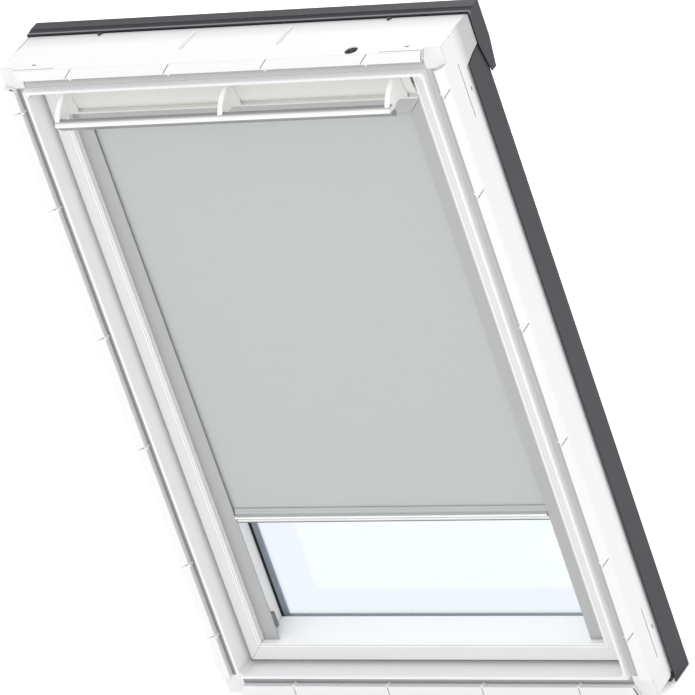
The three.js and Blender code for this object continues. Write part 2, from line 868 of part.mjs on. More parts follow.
function buildGlazing(group) {
  const x = sashInnerX + paneBite;
  const low = sashInnerLow - paneFootBite;
  const high = sashInnerHigh + paneBite;
  piece(group, "inner_pane", block(-x, x, paneFrontY, paneBackY, low, high), glass);
  piece(group, "outer_pane", block(-x, x, outerPaneY, outerPaneY + paneThickness, low, high), glass);
  const spacerInner = {
    x: sashInnerX + spacerSideShow,
    low: sashInnerLow - spacerBottomDrop,
    high: sashInnerHigh + spacerSideShow,
  };
  const spacerOuter = {
    x: spacerInner.x + spacerWidth,
    low: low + fitGap,
    high: spacerInner.high + spacerWidth,
  };
  const spacer = ring(spacerOuter, spacerInner, paneBackY + fitGap, outerPaneY - fitGap);
  piece(group, "spacer_bar", spacer, steel);
  const lip = { x: sashInnerX, low: sashInnerLow, high: sashInnerHigh };
  const gasketOuter = { x: lip.x + paneBite, low: lip.low - paneBite, high: lip.high + paneBite };
  const gasketInner = {
    x: lip.x - gasketLipWidth,
    low: lip.low - gasketThickness,
    high: lip.high - gasketLipWidth,
  };
  const front = rebateY + fitGap / 2;
  piece(group, "glazing_gasket", ring(gasketOuter, gasketInner, front, front + gasketThickness), rubber);
}

function buildSashCladding(group) {
  const outer = { x: sashX - fitGap, low: sashLow + fitGap, high: sashHigh - fitGap };
  const inner = {
    x: sashInnerX + glazingCoverSetback,
    low: sashInnerLow - glazingCoverDrop,
    high: sashInnerHigh - glazingCoverOverlap,
  };
  piece(group, "glazing_cover", ring(outer, inner, glazingCoverY, glazingCoverY + sheet), cladding);
  const coverGap = hoodBackY - sheet - (glazingCoverY + sheet) - fitGap;
  for (const side of pair) {
    const strip = coverStrip(side, lowerCoverInner, bottomCoverTop + fitGap,
      pivotZ - coverPivotClearance, coverGap);
    piece(group, `lower_cover_${side}`, strip, cladding);
  }
  const bottom = [
    [coverBackY + fitGap, -coverOverhang],
    [hoodBackY, -coverOverhang],
    [hoodBackY, bottomCoverTop],
    [hoodBackY - sheet - coverGap, bottomCoverTop],
    [hoodBackY - sheet - coverGap, bottomCoverTop - sheet],
    [hoodBackY - sheet, bottomCoverTop - sheet],
    [hoodBackY - sheet, sheet - coverOverhang],
    [coverBackY + fitGap, sheet - coverOverhang],
  ];
  piece(group, "sash_bottom_cover", prism("x", bottom, -outerCoverX, outerCoverX), cladding);
}

// Vent flap: a cove that ends in a lip round the hinge axis
function flapCove() {
  const reach = flapAxisY - flapTopY;
  const rise = flapTopZ - flapAxisZ;
  return flapCoveShares.map(([back, up]) => [flapTopY + back * reach, flapAxisZ + up * rise]);
}

function flapSection() {
  const cove = flapCove();
  const inner = cove.map(([y, z]) => [y + flapWall, z]).reverse();
  const lipTop = flapAxisZ + flapLipHeight / 2;
  const knuckle = [];
  const steps = 6;
  for (let i = 0; i <= steps; i++) {
    const angle = -Math.PI / 2 + (i / steps) * (Math.PI * 0.72);
    knuckle.push([flapAxisY + flapKnuckle * Math.cos(angle), flapAxisZ + flapKnuckle * Math.sin(angle)]);
  }
  return [
    ...cove,
    [flapLipY, lipTop],
    [flapLipY, lipTop - flapLipHeight],
    ...knuckle,
    ...inner,
  ];
}

// Seen from its end the bar is round on top and behind, and its underside rises to a sharp front edge.
function barSection(grow) {
  const middle = [barFrontY + barDepth / 2, barLowZ + barHeight / 2];
  const widen = 1 + (grow * 2) / barDepth;
  return barShares.map(([back, up]) => [
    middle[0] + (back - 0.5) * barDepth * widen,
    middle[1] + (up - 0.5) * barHeight * widen,
  ]);
}

function finOutline() {
  const reach = finReach * 2;
  const rise = finTopZ - finTipZ;
  const place = ([back, up]) => [back * reach - finReach, finTipZ + up * rise];
  const back = flapCove().map(([y, z]) => [y - fitGap, z]);
  const foot = [flapLipY - fitGap, flapAxisZ + flapLipHeight / 2 + fitGap];
  return [...finFrontShares.map(place), ...finBackShares.map(place), foot, ...back.reverse().slice(1)];
}

// A fin ends in front of and above the bar, which runs past it.
function fin(x) {
  const half = finWidth / 2;
  const barEdgeZ = barLowZ + barShares[0][1] * barHeight;
  const under = block(x - finWidth, x + finWidth, barFrontY - overrun, barBackY + fitGap,
    finTipZ - overrun * 2, barEdgeZ + fitGap);
  const bar = prism("x", barSection(fitGap), x - finWidth, x + finWidth);
  return cut(prism("x", finOutline(), x - half, x + half), under, bar);
}

function buildFlap(group) {
  const end = sashInnerX - fitGap * 2;
  const pinHoles = [-1, 1].map((mark) => rod(flapPinRadius + fitGap, mark * (end - flapPinReach),
    mark * (end + overrun), flapAxisY, flapAxisZ, 16));
  const notch = new THREE.CylinderGeometry(flapNotchRadius, flapNotchRadius, flapKnuckle * 2, 20);
  notch.translate(flapNotchX, flapAxisY - flapKnuckle, flapAxisZ + flapLipHeight / 2);
  piece(group, "vent_flap", cut(prism("x", flapSection(), -end, end), ...pinHoles, notch), flapWhite);
  const barEnd = finX + finWidth / 2;
  piece(group, "control_bar", prism("x", barSection(0), -barEnd, barEnd), polished);
  piece(group, "fin_left", fin(-finX), flapWhite);
  piece(group, "fin_right", fin(finX), flapWhite);
  piece(group, "fin_middle", fin(0), flapWhite);
}

function buildFlapPins(group) {
  for (const side of pair) {
    const mark = sideMark(side);
    const outer = sashInnerX - fitGap;
    const pin = rod(flapPinRadius, mark * (outer - flapPinReach + fitGap), mark * outer, flapAxisY, flapAxisZ, 16);
    piece(group, `flap_pin_${side}`, pin, steel);
  }
}

// Latch: a bolt in the sash's top below a strike plate on the frame
function buildLatch(group) {
  const top = sashHigh + latchReach;
  const half = latchWidth / 2;
  const bolt = block(-half, half, latchFrontY, latchFrontY + latchDepth, top - latchHeight, top);
  piece(group, "latch_bolt", bolt, steel);
}

function buildStrike(group) {
  const top = revealHigh - fitGap;
  const half = strikeWidth / 2;
  const middle = latchFrontY + latchDepth / 2;
  const plate = block(-half, half, middle - strikeDepth / 2, middle + strikeDepth / 2, top - strikePlate, top);
  piece(group, "strike_plate", plate, steel);
}

// Blind: side channels, their feet and the top casing
function sideChannel(side) {
  const mark = sideMark(side);
  const top = casingLowZ;
  const back = channelFrontY + channelDepth;
  const mitre = channelOuterX - channelInnerX;
  const front = prism("y", [
    [mark * channelInnerX, blindLow],
    [mark * channelOuterX, blindLow],
    [mark * channelOuterX, top + mitre],
    [mark * channelInnerX, top],
  ], channelFrontY, channelFrontY + channelWall);
  const web = block(mark * (channelOuterX - channelWall), mark * channelOuterX, channelFrontY, back,
    blindLow, top - fitGap);
  const rear = block(mark * (channelOuterX - channelBackFlange), mark * channelOuterX, back - channelWall,
    back, blindLow, top - fitGap);
  return join(front, web, rear);
}

function blindCasing() {
  const mitre = channelOuterX - channelInnerX;
  const seam = fitGap * 1.5;
  const front = prism("y", [
    [-channelInnerX + seam, casingLowZ],
    [channelInnerX - seam, casingLowZ],
    [channelOuterX - seam, casingLowZ + mitre],
    [channelOuterX - seam, casingTopZ],
    [-channelOuterX + seam, casingTopZ],
    [-channelOuterX + seam, casingLowZ + mitre],
  ], channelFrontY, channelFrontY + channelWall);
  const end = channelOuterX - casingEndPlate - fitGap;
  const inside = channelFrontY + channelWall;
  const shell = [
    [channelFrontY + channelWall / 2, casingTopZ],
    [casingBackY, casingTopZ],
    [casingBackY, casingLowZ],
    [inside + casingSlot, casingLowZ],
    [inside + casingSlot, casingLowZ + channelWall / 2],
    [casingBackY - channelWall, casingLowZ + channelWall / 2],
    [casingBackY - channelWall, casingTopZ - channelWall / 2],
    [channelFrontY + channelWall / 2, casingTopZ - channelWall / 2],
  ];
  return join(front, prism("x", shell, -end, end));
}

function buildBlindFrame(group) {
  for (const side of pair) {
    const mark = sideMark(side);
    piece(group, `side_channel_${side}`, sideChannel(side), aluminium);
    const outer = channelOuterX;
    const foot = block(mark * (outer - footWidth), mark * outer, footFrontY, footFrontY + footDepth,
      blindLow, blindLow + footHeight);
    piece(group, `channel_foot_${side}`, foot, clipGrey);
    const plateFront = channelFrontY + channelWall + fitGap;
    const plate = block(mark * (outer - casingEndPlate), mark * outer, plateFront, casingBackY,
      casingLowZ, casingTopZ);
    const bore = rod(journalRadius + fitGap, mark * (outer - casingEndPlate - overrun),
      mark * (outer + overrun), rollAxisY, rollAxisZ);
    piece(group, `roller_bracket_${side}`, cut(plate, bore), clipGrey);
  }
  piece(group, "blind_casing", blindCasing(), aluminium);
}

function buildRoller(group) {
  const bracket = channelOuterX - casingEndPlate - fitGap;
  const end = bracket - overrun;
  const roller = tube(rollerRadius, rollerRadius - rollerWall, -end, end, 0, 0);
  piece(group, "roller_tube", roller, aluminium);
  const roll = tube(rollRadius, rollerRadius + fitGap, -clothHalf, clothHalf, 0, 0, 32);
  piece(group, "cloth_roll", roll, clothGrey);
  for (const side of pair) {
    const mark = sideMark(side);
    const plugRadius = rollerRadius - rollerWall - fitGap;
    const plug = rod(plugRadius, mark * (end - rollerRadius), mark * end, 0, 0);
    const journal = rod(journalRadius, mark * (end - overrun), mark * (channelOuterX - fitGap), 0, 0);
    piece(group, `roller_journal_${side}`, join(plug, journal), steel);
  }
  const reach = end - rollerRadius - fitGap;
  piece(group, "tension_spring_mandrel", rod(mandrelRadius, -reach, reach, 0, 0), steel);
}

// Bottom bar: a lip, a hollow, a rounded handle and a foot, with a slot for the cloth
function bottomBarSection() {
  const faceY = bottomBarFaceY;
  const backY = faceY + bottomBarDepth - channelWall * 2;
  const top = bottomBarLowZ + bottomBarHeight;
  const handleShares = [
    [0.0, 0.8],
    [0.14, 0.78],
    [0.14, 0.6],
    [0.55, 0.58],
    [0.9, 0.53],
    [1.0, 0.46],
    [0.96, 0.38],
    [0.75, 0.32],
    [0.1, 0.28],
    [0.1, 0.2],
    [0.3, 0.17],
    [0.3, 0.0],
  ];
  const slotHalf = clothThickness / 2 + fitGap;
  return [
    [clothPlaneY - slotHalf, top],
    [faceY, top],
    ...handleShares.map(([out, up]) => [faceY - out * bottomBarHandle, bottomBarLowZ + up * bottomBarHeight]),
    [backY, bottomBarLowZ],
    [backY, top],
    [clothPlaneY + slotHalf, top],
    [clothPlaneY + slotHalf, top - bottomBarSlot],
    [clothPlaneY - slotHalf, top - bottomBarSlot],
  ];
}

function buildBottomBar(group) {
  const end = channelInnerX - fitGap * 3;
  piece(group, "bottom_bar", prism("x", bottomBarSection(), -end, end), aluminium);
  const front = channelFrontY + channelWall + fitGap;
  const guideEnd = channelOuterX - channelWall - fitGap;
  const top = bottomBarLowZ + bottomBarHeight - bottomBarSlot - fitGap;
  for (const side of pair) {
    const mark = sideMark(side);
    const guide = block(mark * (end + fitGap), mark * guideEnd, front, front + guideThickness,
      top - guideHeight + bottomBarSlot, top);
    piece(group, `bar_guide_${side}`, guide, clipGrey);
  }
}

function buildCloth(group) {
  const half = clothThickness / 2;
  const low = bottomBarLowZ + bottomBarHeight - bottomBarSlot + fitGap;
  const cloth = block(-clothHalf, clothHalf, clothPlaneY - half, clothPlaneY + half, low, rollAxisZ);
  piece(group, "blind_cloth", cloth, clothGrey);
}

// The whole window, with its origin in the middle of the frame's underside
function buildWindow() {
  const whole = new THREE.Group();
  const frame = new THREE.Group();
  frame.position.set(0, -originDepth, 0);
  whole.add(frame);
  buildFrameMembers(frame);
  buildFrameSeal(frame);
  buildFramePivots(frame);
  buildFrameCladding(frame);
  buildStrike(frame);

  const sash = new THREE.Group();
  frame.add(sash);
  buildSashMembers(sash);
  buildGlazing(sash);
  buildSashPivots(sash);
  buildSashCladding(sash);
  buildFlapPins(sash);
  buildBlindFrame(sash);

  const flap = new THREE.Group();
  sash.add(flap);
  buildFlap(flap);
  const latch = new THREE.Group();
  sash.add(latch);
  buildLatch(latch);
  const roller = new THREE.Group();
  roller.position.set(0, rollAxisY, rollAxisZ);
  sash.add(roller);
  buildRoller(roller);
  const bar = new THREE.Group();
  sash.add(bar);
  buildBottomBar(bar);
  buildCloth(bar);
  return whole;
}

export default buildWindow();
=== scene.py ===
"""Dresses a centre-pivot roof window and its roller blind.

It rounds the edges, hangs the cloth, adds two ribs, gives every piece its finish and sets up a studio.
"""

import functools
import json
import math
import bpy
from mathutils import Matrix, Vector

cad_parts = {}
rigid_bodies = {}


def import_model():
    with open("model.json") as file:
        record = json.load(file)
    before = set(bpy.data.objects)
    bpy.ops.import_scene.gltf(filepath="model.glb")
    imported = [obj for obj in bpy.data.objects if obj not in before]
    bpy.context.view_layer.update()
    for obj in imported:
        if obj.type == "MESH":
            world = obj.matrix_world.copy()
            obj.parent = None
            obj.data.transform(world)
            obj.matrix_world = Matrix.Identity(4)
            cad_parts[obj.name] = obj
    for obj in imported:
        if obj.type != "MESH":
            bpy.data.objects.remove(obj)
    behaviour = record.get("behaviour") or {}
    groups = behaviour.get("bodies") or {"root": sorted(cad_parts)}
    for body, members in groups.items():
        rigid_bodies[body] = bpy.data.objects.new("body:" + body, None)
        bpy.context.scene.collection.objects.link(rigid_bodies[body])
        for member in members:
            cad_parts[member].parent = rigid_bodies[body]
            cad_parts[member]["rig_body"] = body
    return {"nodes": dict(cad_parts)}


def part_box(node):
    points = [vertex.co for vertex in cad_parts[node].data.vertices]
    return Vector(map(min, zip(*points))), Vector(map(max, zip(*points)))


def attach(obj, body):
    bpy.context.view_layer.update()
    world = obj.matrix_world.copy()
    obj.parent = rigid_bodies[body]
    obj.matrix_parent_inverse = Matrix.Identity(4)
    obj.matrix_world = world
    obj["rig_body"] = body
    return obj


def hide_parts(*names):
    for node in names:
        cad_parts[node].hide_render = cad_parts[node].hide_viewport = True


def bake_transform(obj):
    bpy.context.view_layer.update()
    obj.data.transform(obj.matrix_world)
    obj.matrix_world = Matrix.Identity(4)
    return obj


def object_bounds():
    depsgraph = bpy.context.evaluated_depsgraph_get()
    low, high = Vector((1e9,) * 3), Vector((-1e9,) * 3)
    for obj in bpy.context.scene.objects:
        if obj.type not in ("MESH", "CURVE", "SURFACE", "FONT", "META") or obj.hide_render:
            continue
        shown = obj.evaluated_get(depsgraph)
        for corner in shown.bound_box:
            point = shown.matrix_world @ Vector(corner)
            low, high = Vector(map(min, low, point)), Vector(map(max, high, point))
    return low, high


bl_info = {
    "name": "Roof Window and Blind",
    "version": (1, 0, 0),
    "blender": (4, 5, 0),
    "location": "View3D > Sidebar > Window",
    "description": "Builds the dressed pieces of a roof window with a roller blind round its packed frame",
    "category": "Object",
}

import bpy
from mathutils import Matrix, Vector

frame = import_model()
cad_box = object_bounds()

MM = 0.001

# What the frame's finish draws, painted shade included: y from the frame's front, insets from its outer edges
FRAME_LIP = 16 * MM
LIP_SETBACK = 3 * MM
GROOVE_WIDTH = 14 * MM
GROOVE_DEPTH = 12.5 * MM
GROOVE_SPILL = 0.4 * MM
# Painted shade on the groove's floor: darkest beside the lip, fading toward the rim
GROOVE_FLOOR = (-0.8 * MM, 1.5 * MM)
GROOVE_SHADE_FALL = 0.80
GROOVE_SHADE_BASE = 0.30
SEAM_END = 1.8 * MM
SEAM_FLOOR = (0.3 * MM, 3.0 * MM)
SHORT_SEAM = 9 * MM
# Painted shade in the key slots and in the small holes
SLOT_WIDTH = 1.4 * MM
SLOT_FLOOR = (0.25 * MM, 2.0 * MM)
TOP_SLOT_Y = 6 * MM
SIDE_SLOT_Y = 37 * MM
HOLE_LENGTH = 7 * MM
HOLE_WIDTH = 3.2 * MM
HOLE_DEPTH = 1 * MM
TOP_HOLE_X = 279 * MM
TOP_HOLE_Y = 17 * MM
SIDE_HOLE_INSET = 82 * MM
SIDE_HOLE_Y = 48.8 * MM
# Painted shade on the outer faces where they run under the cladding and the hood
SHADE_REACH = 24 * MM
SHADE_END = 2 * MM
SIDE_SHADE_DEPTH = 4 * MM
TOP_SHADE_DEPTH = 3 * MM
SHADE_CURVE = 1.8
SIDE_SHADE = 0.62
TOP_SHADE = 0.32

# Painted highlights and painted shade in bands round the sash's face, measured outward from its inner edge, and
# the painted shade of that recessed face
BEAD_HIGHLIGHTS = ((-0.2 * MM, 1.5 * MM), (3.2 * MM, 4.8 * MM))
BEAD_SHADES = ((1.5 * MM, 3.2 * MM), (4.8 * MM, 5.6 * MM))
BEAD_SHADE_TONE = 0.66
SASH_FACE_SHADE = 0.79
SASH_FACE_DEPTH = 0.6 * MM

# Painted highlights on the bottom bar's bead and painted shade lines along it, as shares of its height
BAR_BEAD_HIGHLIGHTS = ((0.12, 0.30), (0.40, 0.50))
BAR_SHADE_LINES = ((-0.10, 0.07), (0.30, 0.36))
BAR_FINE_SHADE_LINES = ((0.84, 0.88), (0.95, 0.99))
BAR_FINE_SHADE_SHARE = 0.35

# The control bar's shade, which grows from the first share of its height to the second
BAR_UPPER_SHADE = (0.80, 0.94)
BAR_LOWER_SHADE = (0.60, 0.50)
BAR_SHADE_SHARE = 0.85

# The painted highlight along the hood's fold, y from its front edge, and the dull gloss of all the cladding
HOOD_FOLD_HIGHLIGHT = (9.1 * MM, 12.0 * MM)
HOOD_HIGHLIGHT_DEPTH = 6 * MM
CLADDING_SPECULAR = 0.42

# The panes, and the bands along the outer one's sides and foot where a darker blue painted reflection lies
GLASS_ALPHA = 0.15
GLASS_INDEX = 1.1
GLASS_HAZE = 0.03
SIDE_REFLECTION_BAND = 66 * MM
FOOT_REFLECTION_BAND = 46 * MM

# How much each axis is stretched; a pattern runs along the one that is stretched least
ALONG_X = (0.3, 50.0, 50.0)
ALONG_Z = (50.0, 50.0, 0.3)
SLUB_STRETCH = (5.0, 260.0, 1.0)

# The ribs on the frame's top face, y from the frame's front
RIB_PLACES = (-68 * MM, 77 * MM)
RIB_FRONT = 40 * MM
RIB_BACK = 83 * MM
RIB_WIDTH = 4.5 * MM
RIB_HEIGHT = 2.0 * MM
RIB_ROUNDING = 0.7

SHARP_ANGLE = math.radians(32)
CLOTH_ANGLE = math.radians(40)
GROMMET_EDGE = 0.3 * MM
SLACK_SIZE = 160 * MM

# The studio; each lamp has its place and the point that it is aimed at
FLOOR_SIZE = 60.0
FLOOR_GAP = 0.5 * MM
LAMP_SIZE = 2.4
KEY_LAMP = ((1.0, -4.6, 2.8), (0, 0, 0.5))
OUTDOOR_LAMP = ((-0.6, 4.2, 2.8), (0, 0, 0.3))
SENSOR_WIDTH = 36.0
FAR_CLIP = 100.0


# Settings
class WindowEdges(bpy.types.PropertyGroup):
    coated: bpy.props.FloatProperty(
        name="Coated edges",
        description="Radius of the coated edges of the sash",
        default=0.8 * MM,
        min=0.0,
        subtype="DISTANCE",
        unit="LENGTH",
    )
    moulded: bpy.props.FloatProperty(
        name="Moulded edges",
        description="Radius of the edges of moulded plastic pieces",
        default=0.6 * MM,
        min=0.0,
        subtype="DISTANCE",
        unit="LENGTH",
    )
    drawn: bpy.props.FloatProperty(
        name="Drawn edges",
        description="Radius of the edges of drawn aluminium profiles",
        default=0.35 * MM,
        min=0.0,
        subtype="DISTANCE",
        unit="LENGTH",
    )
    folded: bpy.props.FloatProperty(
        name="Folded edges",
        description="Radius of the edges of folded cladding",
        default=0.45 * MM,
        min=0.0,
        subtype="DISTANCE",
        unit="LENGTH",
    )


class BlindCloth(bpy.types.PropertyGroup):
    thickness: bpy.props.FloatProperty(
        name="Thickness",
        description="Thickness of the coated cloth",
        default=0.5 * MM,
        min=0.0001,
        subtype="DISTANCE",
        unit="LENGTH",
    )
    thread: bpy.props.FloatProperty(
        name="Thread pitch",
        description="Distance between neighbouring threads of the weave",
        default=0.55 * MM,
        min=0.0001,
        subtype="DISTANCE",
        unit="LENGTH",
    )
    ripple: bpy.props.FloatProperty(
        name="Ripple",
        description="How far the stretched cloth leaves its plane",
        default=0.35 * MM,
        min=0.0,
        subtype="DISTANCE",
        unit="LENGTH",
    )
    columns: bpy.props.IntProperty(
        name="Columns",
        description="Squares across the cloth",
        default=36,
        min=2,
    )
    rows: bpy.props.IntProperty(
        name="Rows",
        description="Squares down the cloth",
        default=48,
        min=2,
    )


def colour_property(name, description, default):
    return bpy.props.FloatVectorProperty(
        name=name,
        description=description,
        default=default,
        min=0.0,
        max=1.0,
        size=3,
        subtype="COLOR",
    )


class WindowColours(bpy.types.PropertyGroup):
    coat: colour_property("Frame coat", "White coat of the outer frame", (0.86, 0.86, 0.87))
    # Painted shade: the groove's floor is as white as the frame, and this grey stands in for the shade in the
    # groove and beside the cladding
    groove: colour_property("Groove", "Grey of the lining groove's floor", (0.30, 0.30, 0.31))
    # Dark of the seams, also painted as shade in key slots, holes and the bottom bar's dark lines
    line: colour_property("Seam line", "Dark line in seams and key slots", (0.10, 0.10, 0.11))
    # Painted light: the sash has the frame's white, set lighter here so its sill and inner sides look lit; its
    # front face is darkened again as painted shade
    sash: colour_property("Sash coat", "White coat of the sash", (0.94, 0.94, 0.94))
    # Painted highlights on the rounded lines of the sash's bead
    bead: colour_property("Bead line", "Bright rounded lines of the sash's bead", (0.97, 0.97, 0.98))
    # Painted shade: the ribs have the frame's white coat, darkened here so they stand out
    rib: colour_property("Rib", "White of the ribs on the frame's top face", (0.774, 0.774, 0.783))
    cap: colour_property("Corner cap", "Pale plastic of the corner caps", (0.84, 0.84, 0.855))
    # The flap and its fins are one off-white plastic: the flap's colour is darkened as painted shade in its
    # cove, the fins' colour lightened as painted light
    flap: colour_property("Flap", "Off-white of the vent flap", (0.77, 0.77, 0.74))
    fin: colour_property("Fin", "Off-white of the flap's fins", (0.95, 0.95, 0.93))
    # Also painted as the highlights on the bottom bar's bead
    bar: colour_property("Control bar", "Bright anodised control bar", (0.93, 0.93, 0.92))
    bar_shade: colour_property("Bar shade", "Grey of the bar's turned-away faces", (0.20, 0.20, 0.195))
    profile: colour_property("Blind profile", "Grey anodised blind profiles", (0.43, 0.43, 0.43))
    cloth: colour_property("Cloth", "Pale grey coated cloth", (0.50, 0.53, 0.515))
    cladding: colour_property("Cladding", "Dark grey paint of the cladding", (0.022, 0.0208, 0.0290))
    # Painted highlight along the hood's fold
    fold: colour_property("Cladding fold", "Light line along the hood's fold", (0.20, 0.20, 0.215))
    steel: colour_property("Steel", "Zinc-plated fittings", (0.42, 0.43, 0.44))
    clip: colour_property("Clip", "Mid grey plastic clips", (0.20, 0.20, 0.21))
    seal: colour_property("Seal", "Black rubber seals", (0.012, 0.012, 0.013))
    glass: colour_property("Glass", "Tint of the panes", (0.74, 0.88, 0.97))
    # Painted reflection: the darker blue along the sides and foot of the outer pane
    glass_reflection: colour_property("Glass rim", "Tint of the panes near their edges", (0.40, 0.54, 0.74))
    spacer: colour_property("Spacer", "Blue grey of the spacer between the panes", (0.22, 0.25, 0.29))


class Studio(bpy.types.PropertyGroup):
    camera_place: bpy.props.FloatVectorProperty(
        name="Camera place",
        description="Where the camera stands",
        default=(4.807, -6.649, 4.667),
        subtype="TRANSLATION",
        unit="LENGTH",
    )
    camera_target: bpy.props.FloatVectorProperty(
        name="Camera target",
        description="The point in the middle of the picture",
        default=(0.0327, 0.0, 0.5328),
        subtype="TRANSLATION",
        unit="LENGTH",
    )
    camera_roll: bpy.props.FloatProperty(
        name="Camera roll",
        description="Turn of the camera about its line of sight",
        default=math.radians(-19.37),
        subtype="ANGLE",
        unit="ROTATION",
    )
    focal_length: bpy.props.FloatProperty(
        name="Focal length",
        description="Focal length on a sensor 36 mm wide",
        default=368.2,
        min=1.0,
        subtype="DISTANCE_CAMERA",
    )
    sky: bpy.props.FloatProperty(
        name="Sky level",
        description="Strength of the even white light from all round",
        default=0.94,
        min=0.0,
    )
    key: bpy.props.FloatProperty(
        name="Key lamp",
        description="Power of the large soft lamp, in watts",
        default=45.0,
        min=0.0,
    )
    outdoor: bpy.props.FloatProperty(
        name="Outdoor lamp",
        description="Power of the soft lamp outside the window, in watts",
        default=80.0,
        min=0.0,
    )
    floor: colour_property("Floor", "Pale floor", (0.96, 0.96, 0.96))
    floor_glow: bpy.props.FloatProperty(
        name="Floor glow",
        description="Extra brightness of the floor as the camera sees it",
        default=0.35,
        min=0.0,
        max=1.0,
    )


# Picking and finishing meshes
def deselect_all():
    if bpy.context.object and bpy.context.object.mode != "OBJECT":
        bpy.ops.object.mode_set(mode="OBJECT")
    bpy.ops.object.select_all(action="DESELECT")


def pick(piece):
    deselect_all()
    piece.select_set(True)
    bpy.context.view_layer.objects.active = piece


def apply_modifier(piece, kind, **settings):
    pick(piece)
    bpy.ops.object.modifier_add(type=kind)
    modifier = piece.modifiers[-1]
    for name, value in settings.items():
        setattr(modifier, name, value)
    bpy.ops.object.modifier_apply(modifier=modifier.name)


def round_edges(piece, radius, segments=2):
    """Round the sharp edges and keep the flat faces flat. A radius of zero leaves the edges as they are."""
    pick(piece)
    if radius == 0:
        bpy.ops.object.shade_smooth_by_angle(angle=SHARP_ANGLE)
        return
    bpy.ops.object.shade_smooth()
    apply_modifier(
        piece,
        "BEVEL",
        width=radius,
        segments=segments,
        limit_method="ANGLE",
        angle_limit=SHARP_ANGLE,
        use_clamp_overlap=True,
        harden_normals=True,
    )


def place_in_mesh(piece):
    pick(piece)
    bpy.ops.object.transform_apply(location=True, rotation=True, scale=True)


def dress(piece, material, body):
    piece.data.materials.clear()
    piece.data.materials.append(material)
    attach(piece, body)


def edged_copy(node, radius, material):
    """A copy of a CAD node with its sharp edges rounded, which stands for that node."""
    source = frame["nodes"][node]
    piece = bpy.data.objects.new(node + "_edged", source.data.copy())
    bpy.context.scene.collection.objects.link(piece)
    pick(piece)
    bpy.ops.mesh.customdata_custom_splitnormals_clear()
    bpy.ops.object.mode_set(mode="EDIT")
    bpy.ops.mesh.select_all(action="SELECT")
    bpy.ops.mesh.remove_doubles(threshold=0.01 * MM)
    bpy.ops.mesh.dissolve_limited(angle_limit=math.radians(0.5))
    bpy.ops.object.mode_set(mode="OBJECT")
    round_edges(piece, radius)
    dress(piece, material, source["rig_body"])
    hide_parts(node)
    return piece


def paint(node, material):
    target = frame["nodes"][node]
    for slot in target.material_slots:
        slot.material = material


# Shader nodes
def feed(tree, socket, value):
    """Link a socket to another one, or set its own value."""
    if isinstance(value, bpy.types.NodeSocket):
        tree.links.new(value, socket)
    elif value is not None:
        socket.default_value = value


def calculate(tree, operation, first, second=None, third=None, clamp=False):
    node = tree.nodes.new("ShaderNodeMath")
    node.operation = operation
    node.use_clamp = clamp
    for socket, value in zip(node.inputs, (first, second, third)):
        feed(tree, socket, value)
    return node.outputs[0]


def fold(tree, operation, *values):
    """Join several values with one operation, in order."""
    joined = values[0]
    for value in values[1:]:
        joined = calculate(tree, operation, joined, value)
    return joined


def between(tree, value, low, high):
    """One where the value lies between two levels, else zero."""
    above = calculate(tree, "GREATER_THAN", value, low)
    below = calculate(tree, "LESS_THAN", value, high)
    return calculate(tree, "MULTIPLY", above, below)


def bands(tree, value, *ranges):
    """One where the value lies in any of the ranges, else zero."""
    return fold(tree, "MAXIMUM", *(between(tree, value, low, high) for low, high in ranges))


def ramp(tree, value, low, high):
    """Rises from zero to one between two levels."""
    return calculate(tree, "DIVIDE", calculate(tree, "SUBTRACT", value, low), high - low, clamp=True)


def oval(tree, along, across, middle_along, middle_across):
    """One inside a small long hole, else zero."""
    squares = []
    for value, middle, size in ((along, middle_along, HOLE_LENGTH), (across, middle_across, HOLE_WIDTH)):
        part = calculate(tree, "DIVIDE", calculate(tree, "SUBTRACT", value, middle), size / 2)
        squares.append(calculate(tree, "MULTIPLY", part, part))
    return calculate(tree, "LESS_THAN", calculate(tree, "ADD", *squares), 1.0)


def blend_colours(tree, share, first, second):
    node = tree.nodes.new("ShaderNodeMix")
    node.data_type = "RGBA"
    feed(tree, node.inputs["Factor"], share)
    for name, colour in (("A", first), ("B", second)):
        feed(tree, next(s for s in node.inputs if s.name == name and s.type == "RGBA"), colour)
    return next(s for s in node.outputs if s.type == "RGBA")


def noise(tree, vector, scale, detail, roughness=0.5):
    node = tree.nodes.new("ShaderNodeTexNoise")
    for name, value in (("Vector", vector), ("Scale", scale), ("Detail", detail), ("Roughness", roughness)):
        feed(tree, node.inputs[name], value)
    return node.outputs[0]


def stretched(tree, vector, scale):
    """The same place with each axis scaled by its own number."""
    node = tree.nodes.new("ShaderNodeMapping")
    feed(tree, node.inputs["Vector"], vector)
    feed(tree, node.inputs["Scale"], scale)
    return node.outputs[0]


def place_on(tree, kind="Object"):
    return tree.nodes.new("ShaderNodeTexCoord").outputs[kind]


def axes(tree, vector):
    split = tree.nodes.new("ShaderNodeSeparateXYZ")
    tree.links.new(vector, split.inputs[0])
    return split.outputs


def bump(tree, shader, height, distance, strength=0.5):
    node = tree.nodes.new("ShaderNodeBump")
    node.inputs["Distance"].default_value = distance
    node.inputs["Strength"].default_value = strength
    tree.links.new(height, node.inputs["Height"])
    tree.links.new(node.outputs[0], shader.inputs["Normal"])


# Shader groups
COLOUR = "NodeSocketColor"
NUMBER = "NodeSocketFloat"
VECTOR = "NodeSocketVector"
PALE = (0.8, 0.8, 0.8, 1.0)
PALE_SHADE = (0.7, 0.7, 0.7, 1.0)
SURFACE_OUTPUTS = [("Colour", COLOUR), ("Roughness", NUMBER), ("Height", NUMBER)]


def built_once(store, name):
    """Marks a function that makes a finish or a shader group, which is then found by its name."""

    def mark(make):
        @functools.wraps(make)
        def found():
            return getattr(bpy.data, store).get(name) or make(name)

        return found

    return mark


